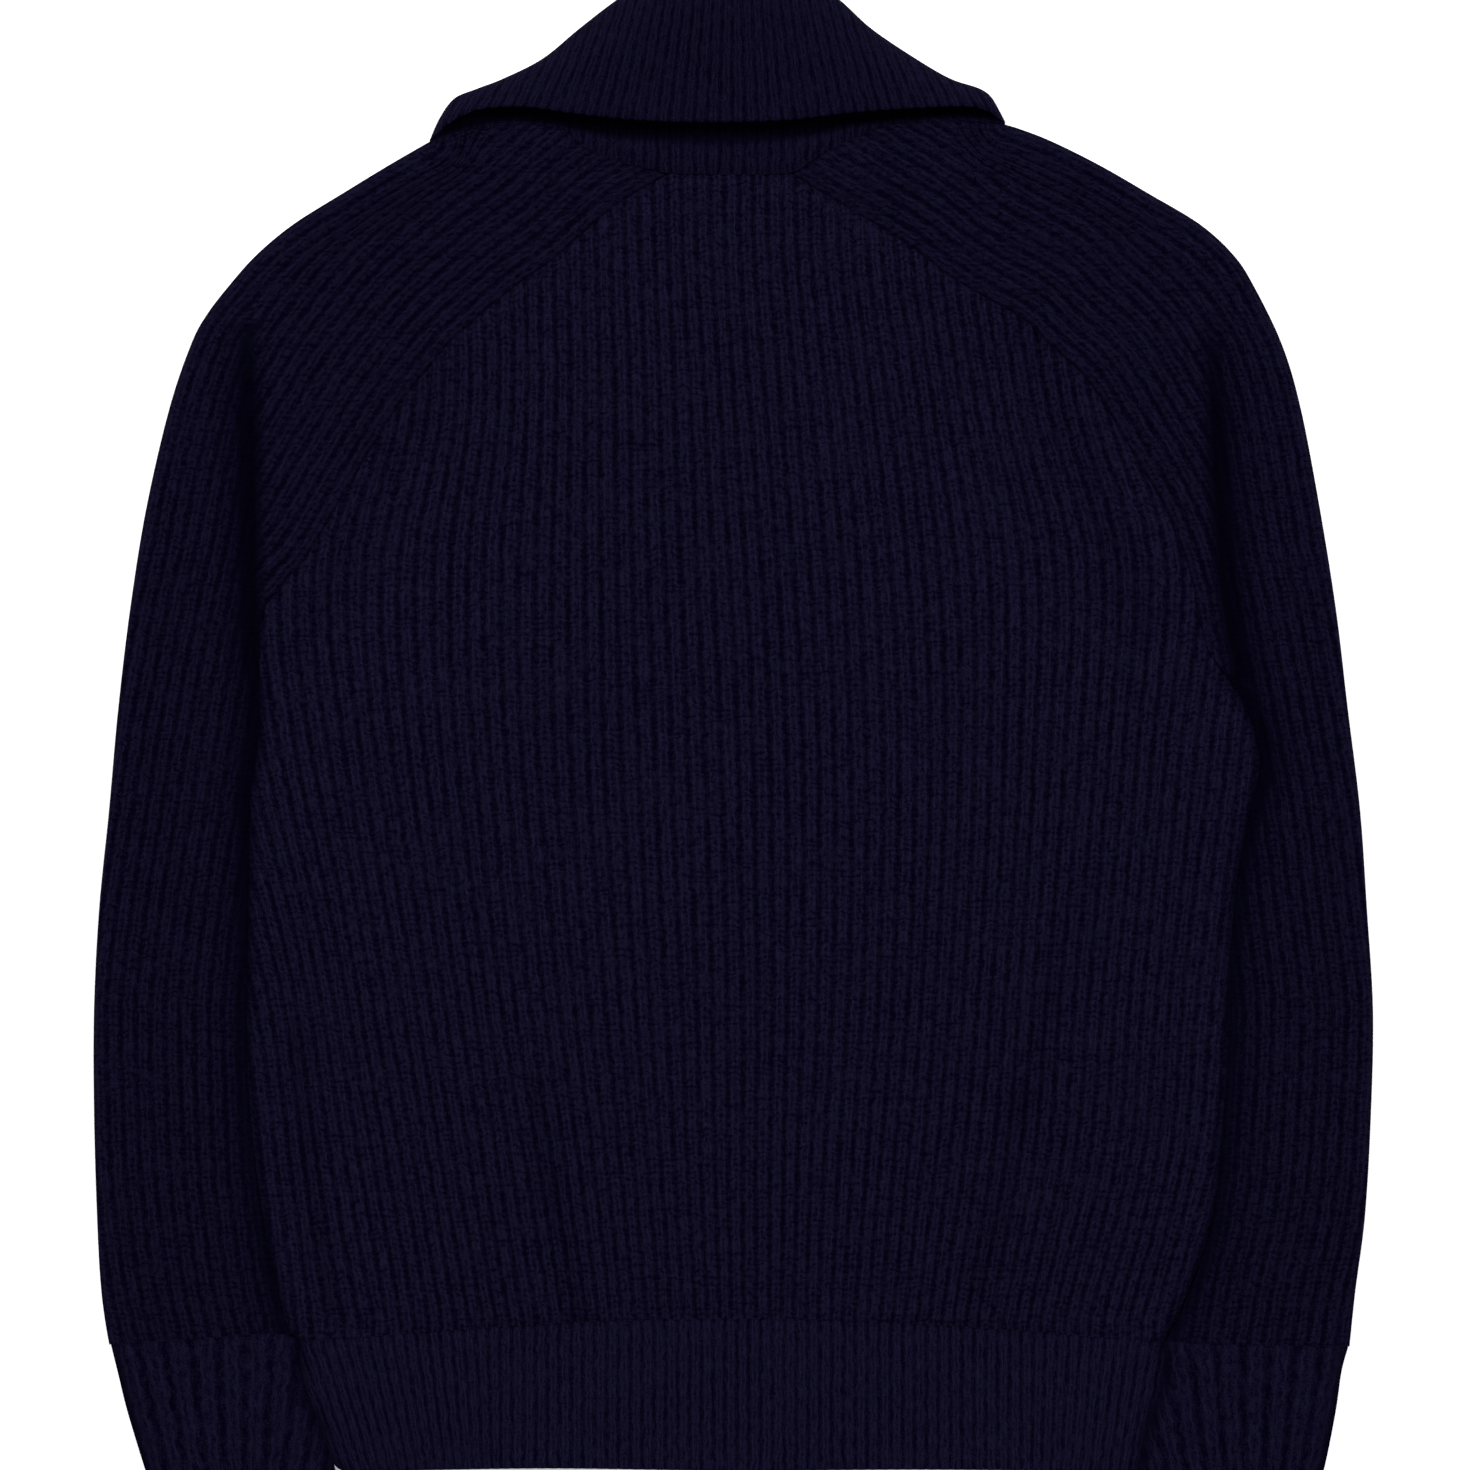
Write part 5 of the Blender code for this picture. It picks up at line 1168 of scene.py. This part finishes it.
# %% Helpers for the hard parts
def hard_part(name, mesh, body, node=None):
    """A metal piece that rides on a body, and may stand for a node."""
    bmesh.ops.recalc_face_normals(mesh, faces=mesh.faces[:])
    data = hand_over(name, mesh)
    data.materials.append(gunmetal)
    data.shade_flat()
    piece = add_object(name, data)
    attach(piece, body)
    if node:
        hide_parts(node)
    print(f"{name}: {len(data.polygons)} faces")


def add_block(mesh, low, high, bevel):
    """A bevelled block between two corners."""
    low, high = Vector(low) * MM, Vector(high) * MM
    place = Matrix.LocRotScale((low + high) / 2, None, high - low)
    made = bmesh.ops.create_cube(mesh, size=1.0, matrix=place)
    edges = {edge for vert in made["verts"] for edge in vert.link_edges}
    bmesh.ops.bevel(mesh, geom=list(edges), offset=bevel * MM, segments=2, profile=0.6, affect="EDGES")


def add_plate(mesh, outline, low, high, bevel):
    """A plate cut to an outline, with rounded rims."""
    base = mesh.faces.new([mesh.verts.new((x * MM, y * MM, low * MM)) for x, y in outline])
    grown = bmesh.ops.extrude_face_region(mesh, geom=[base])["geom"]
    for vert in (item for item in grown if isinstance(item, bmesh.types.BMVert)):
        vert.co.z = high * MM
    top = next(item for item in grown if isinstance(item, bmesh.types.BMFace))
    rims = list(base.edges) + list(top.edges)
    bmesh.ops.bevel(mesh, geom=rims, offset=bevel * MM, segments=2, profile=0.6, affect="EDGES")


def mirrored(right_half):
    """A closed outline from its right half, which runs from the top down."""
    return list(right_half) + [(-x, y) for x, y in reversed(right_half)]


# %% Finishes of tape and metal
THREADS = (("X", 0.9), ("Y", 0.7))       # size of a warp and of a weft thread
TAPE_DARK, TAPE_LIGHT = (0.0035, 0.0030, 0.0090), (0.0085, 0.0075, 0.0190)
TAPE_DEPTH = 0.15
GUNMETAL = (0.12, 0.12, 0.125, 1.0)
POLISH_SPOTS, POLISH = 900.0, (0.28, 0.42)       # spots to a metre, and the roughness they vary between


def tape_finish():
    """Tight plain weave."""
    material, tree, shader = new_finish("navy_zip_tape")
    split = tree.nodes.new("ShaderNodeSeparateXYZ")
    tree.links.new(object_place(tree), split.inputs["Vector"])
    waves = []
    for axis, size in THREADS:
        turns = maths(tree, "MULTIPLY", split.outputs[axis], 2.0 * math.pi / (size * MM))
        waves.append(maths(tree, "SINE", turns))
    weave = maths(tree, "MULTIPLY_ADD", maths(tree, "MULTIPLY", *waves), 0.5, 0.5)
    # Painted shade and highlight: the colour follows the weave's height, darker where a thread dips.
    tree.links.new(mix_colour(tree, weave, TAPE_DARK, TAPE_LIGHT), shader.inputs["Base Color"])
    add_bump(tree, shader, weave, TAPE_DEPTH)
    set_inputs(shader, {"Roughness": 0.8})
    return material


def metal_finish():
    """Dark gunmetal, satin, with a little unevenness of its polish."""
    material, tree, shader = new_finish("zip_gunmetal")
    polish = noise(tree, object_place(tree), POLISH_SPOTS)
    tree.links.new(ramp_up(tree, polish, 0.3, 0.7, *POLISH), shader.inputs["Roughness"])
    set_inputs(shader, {"Base Color": GUNMETAL, "Metallic": 1.0})
    return material


tape_weave, gunmetal = tape_finish(), metal_finish()

# %% Tapes and teeth
ZIP_FOOT, ZIP_HEAD = 65.1, 343.5
TAPE_NEAR, TAPE_FAR = 1.4, 13.0
TAPE_LOW, TAPE_HIGH = 5.5, 6.2
TOOTH_PITCH, TOOTH_LENGTH = 2.5, 1.15
TOOTH_REACH, TOOTH_ROOT = 0.55, 2.45       # a tooth reaches this far past the middle, and this far out
TOOTH_LOW, TOOTH_HIGH = 4.6, 6.6
TAPE_GRID = (10, 120)
TEETH_START = ZIP_FOOT + 0.3
FIRST_TOOTH = {"left": TEETH_START, "right": TEETH_START + 0.5 * TOOTH_PITCH}


def make_tape(side):
    def face_at(height):
        def face(across, along):
            x = SIGN[side] * lerp(TAPE_NEAR, TAPE_FAR, across)
            return x, lerp(ZIP_FOOT, ZIP_HEAD, along), height, x / TAPE_FAR, along
        return face

    faces = face_at(TAPE_HIGH), face_at(TAPE_LOW)
    tape = cloth_sheet(f"zip_tape_{side}_cloth", TAPE_GRID, TAPE_GRID, *faces)
    dress(tape, f"zip_tape_{side}", tape_weave)


def make_teeth(side):
    mesh = bmesh.new()
    near, far = sorted((-SIGN[side] * TOOTH_REACH, SIGN[side] * TOOTH_ROOT))
    for y in np.arange(FIRST_TOOTH[side], ZIP_HEAD - TOOTH_LENGTH, TOOTH_PITCH):
        add_block(mesh, (near, y, TOOTH_LOW), (far, y + TOOTH_LENGTH, TOOTH_HIGH), bevel=0.25)
    hard_part(f"zip_teeth_{side}", mesh, "garment")


for side in SIGN:
    make_tape(side)
    make_teeth(side)

# %% Stop and slider
STOP = (-3.0, 62.0, 4.4), (3.0, 65.0, 6.8)        # lowest and highest corner
mesh = bmesh.new()
add_block(mesh, *STOP, bevel=0.5)
hard_part("zip_stop_crimp", mesh, "garment", "zip_stop")

HINGE_Y, HINGE_Z = 340.5, 1.75
PLATES = (3.5, 4.3), (6.9, 7.7)          # lowest and highest z of the slider's two plates
POST = (-1.2, 345.8, 4.2), (1.2, 348.4, 7.0)
LUG_NEAR, LUG_FAR = 2.1, 3.1
LUG_Y, LUG_Z = (339.5, 341.5), (0.95, 3.7)
PIN_RADIUS, PIN_LENGTH = 0.45, 4.8
# Right half, from the top down.  Columns: x, y.
SLIDER_OUTLINE = ((1.4, 349.0), (3.2, 348.6), (4.2, 347.6), (4.5, 346.2), (4.5, 343.5), (3.9, 341.0),
                  (3.6, 339.2), (3.0, 338.2), (2.0, 338.0))
mesh = bmesh.new()
for low_z, high_z in PLATES:
    add_plate(mesh, mirrored(SLIDER_OUTLINE), low_z, high_z, bevel=0.25)
add_block(mesh, *POST, bevel=0.3)
for sign in SIGN.values():
    near, far = sorted((sign * LUG_NEAR, sign * LUG_FAR))
    add_block(mesh, (near, LUG_Y[0], LUG_Z[0]), (far, LUG_Y[1], LUG_Z[1]), bevel=0.3)
pin = bmesh.ops.create_cone(
    mesh, cap_ends=True, segments=24, radius1=PIN_RADIUS * MM, radius2=PIN_RADIUS * MM,
    depth=PIN_LENGTH * MM, matrix=Matrix.Rotation(math.pi / 2, 4, "Y"))
bmesh.ops.translate(mesh, verts=pin["verts"], vec=(0.0, HINGE_Y * MM, HINGE_Z * MM))
hard_part("zip_slider_body", mesh, "garment", "zip_slider")

# %% Pull tab
# Half section of the eye round the pin.  Columns: x, radius.
EYE_SECTION = ((-1.7, 1.05), (-1.45, 1.42), (1.45, 1.42), (1.7, 1.05), (1.45, 0.8), (-1.45, 0.8))
# Right half of the tab, measured from the pin.  Columns: x, y.
TAB_OUTLINE = ((1.7, -1.1), (2.1, -3.2), (3.2, -6.0), (3.2, -23.6), (2.9, -24.9), (2.2, -25.7), (1.2, -26.0))
TAB_LOW, TAB_HIGH = -1.42, -0.32
EYE_TURNS = 32
mesh = bmesh.new()
section = [mesh.verts.new((x * MM, radius * MM, 0.0)) for x, radius in EYE_SECTION]
ring = [mesh.edges.new((section[k - 1], section[k])) for k in range(len(section))]
bmesh.ops.spin(mesh, geom=section + ring, cent=(0.0, 0.0, 0.0), axis=(1.0, 0.0, 0.0),
               angle=2.0 * math.pi, steps=EYE_TURNS, use_merge=True)
bmesh.ops.remove_doubles(mesh, verts=mesh.verts[:], dist=0.001 * MM)
add_plate(mesh, mirrored(TAB_OUTLINE), TAB_LOW, TAB_HIGH, bevel=0.2)
bmesh.ops.translate(mesh, verts=mesh.verts[:], vec=(0.0, HINGE_Y * MM, HINGE_Z * MM))
hard_part("zip_tab", mesh, "pull_tab", "zip_pull_tab")

# %% [markdown]
# ## The picture
# A flat garment is photographed from straight above.  A wide lens close by would make the raised collar
# lean outwards, so the camera stands high and its lens is long.  Two large soft lamps, one from each
# side of the collar, draw out the ribs, and a pale floor keeps the outline clear.

# %% Camera, floor and light
VIEW_WIDTH = 764.4
VIEW_CENTRE_X = 0.78
CAMERA_HEIGHT = 2600.0
SENSOR = 36.0
FLOOR_SIZE = 6.0            # metres
FLOOR_WHITE, LIGHT_WHITE = (0.9, 0.9, 0.9, 1.0), (1.0, 1.0, 1.0, 1.0)
FLOOR_GLOW, SURROUND = 0.3, 0.4          # light of the floor itself, and of the space around
LAMP_SIZE, LAMP_POWER = 2.0, 176.0       # metres and watts
LAMPS = {"key_left": (-2.2, 1.7, 4.1), "key_right": (2.2, 1.7, 4.1)}        # where they stand, in metres

camera_data = bpy.data.cameras.new("camera")
camera_data.sensor_width = SENSOR
camera_data.lens = SENSOR * CAMERA_HEIGHT / VIEW_WIDTH
camera = add_object("camera", camera_data)
camera.location = (VIEW_CENTRE_X * MM, 0.0, CAMERA_HEIGHT * MM)
bpy.context.scene.camera = camera

mesh = bmesh.new()
bmesh.ops.create_grid(mesh, x_segments=1, y_segments=1, size=FLOOR_SIZE)
floor = add_object("floor", hand_over("floor", mesh))
floor_paint, _, floor_shader = new_finish("floor_white")
set_inputs(floor_shader, {"Base Color": FLOOR_WHITE, "Roughness": 0.9,
                          "Emission Color": LIGHT_WHITE, "Emission Strength": FLOOR_GLOW})
floor.data.materials.append(floor_paint)

for name, place in LAMPS.items():
    lamp_data = bpy.data.lights.new(name, "AREA")
    lamp_data.shape = "DISK"
    lamp_data.size = LAMP_SIZE
    lamp_data.energy = LAMP_POWER
    lamp = add_object(name, lamp_data)
    lamp.location = place
    lamp.rotation_mode = "QUATERNION"
    lamp.rotation_quaternion = (-Vector(place)).to_track_quat("-Z", "Y")

world = bpy.data.worlds.new("studio")
world.use_nodes = True
set_inputs(world.node_tree.nodes["Background"], {"Color": LIGHT_WHITE, "Strength": SURROUND})
bpy.context.scene.world = world
bpy.context.scene.view_settings.view_transform = "Standard"
print("camera", CAMERA_HEIGHT, "mm up, lens", round(camera_data.lens, 1), "mm")
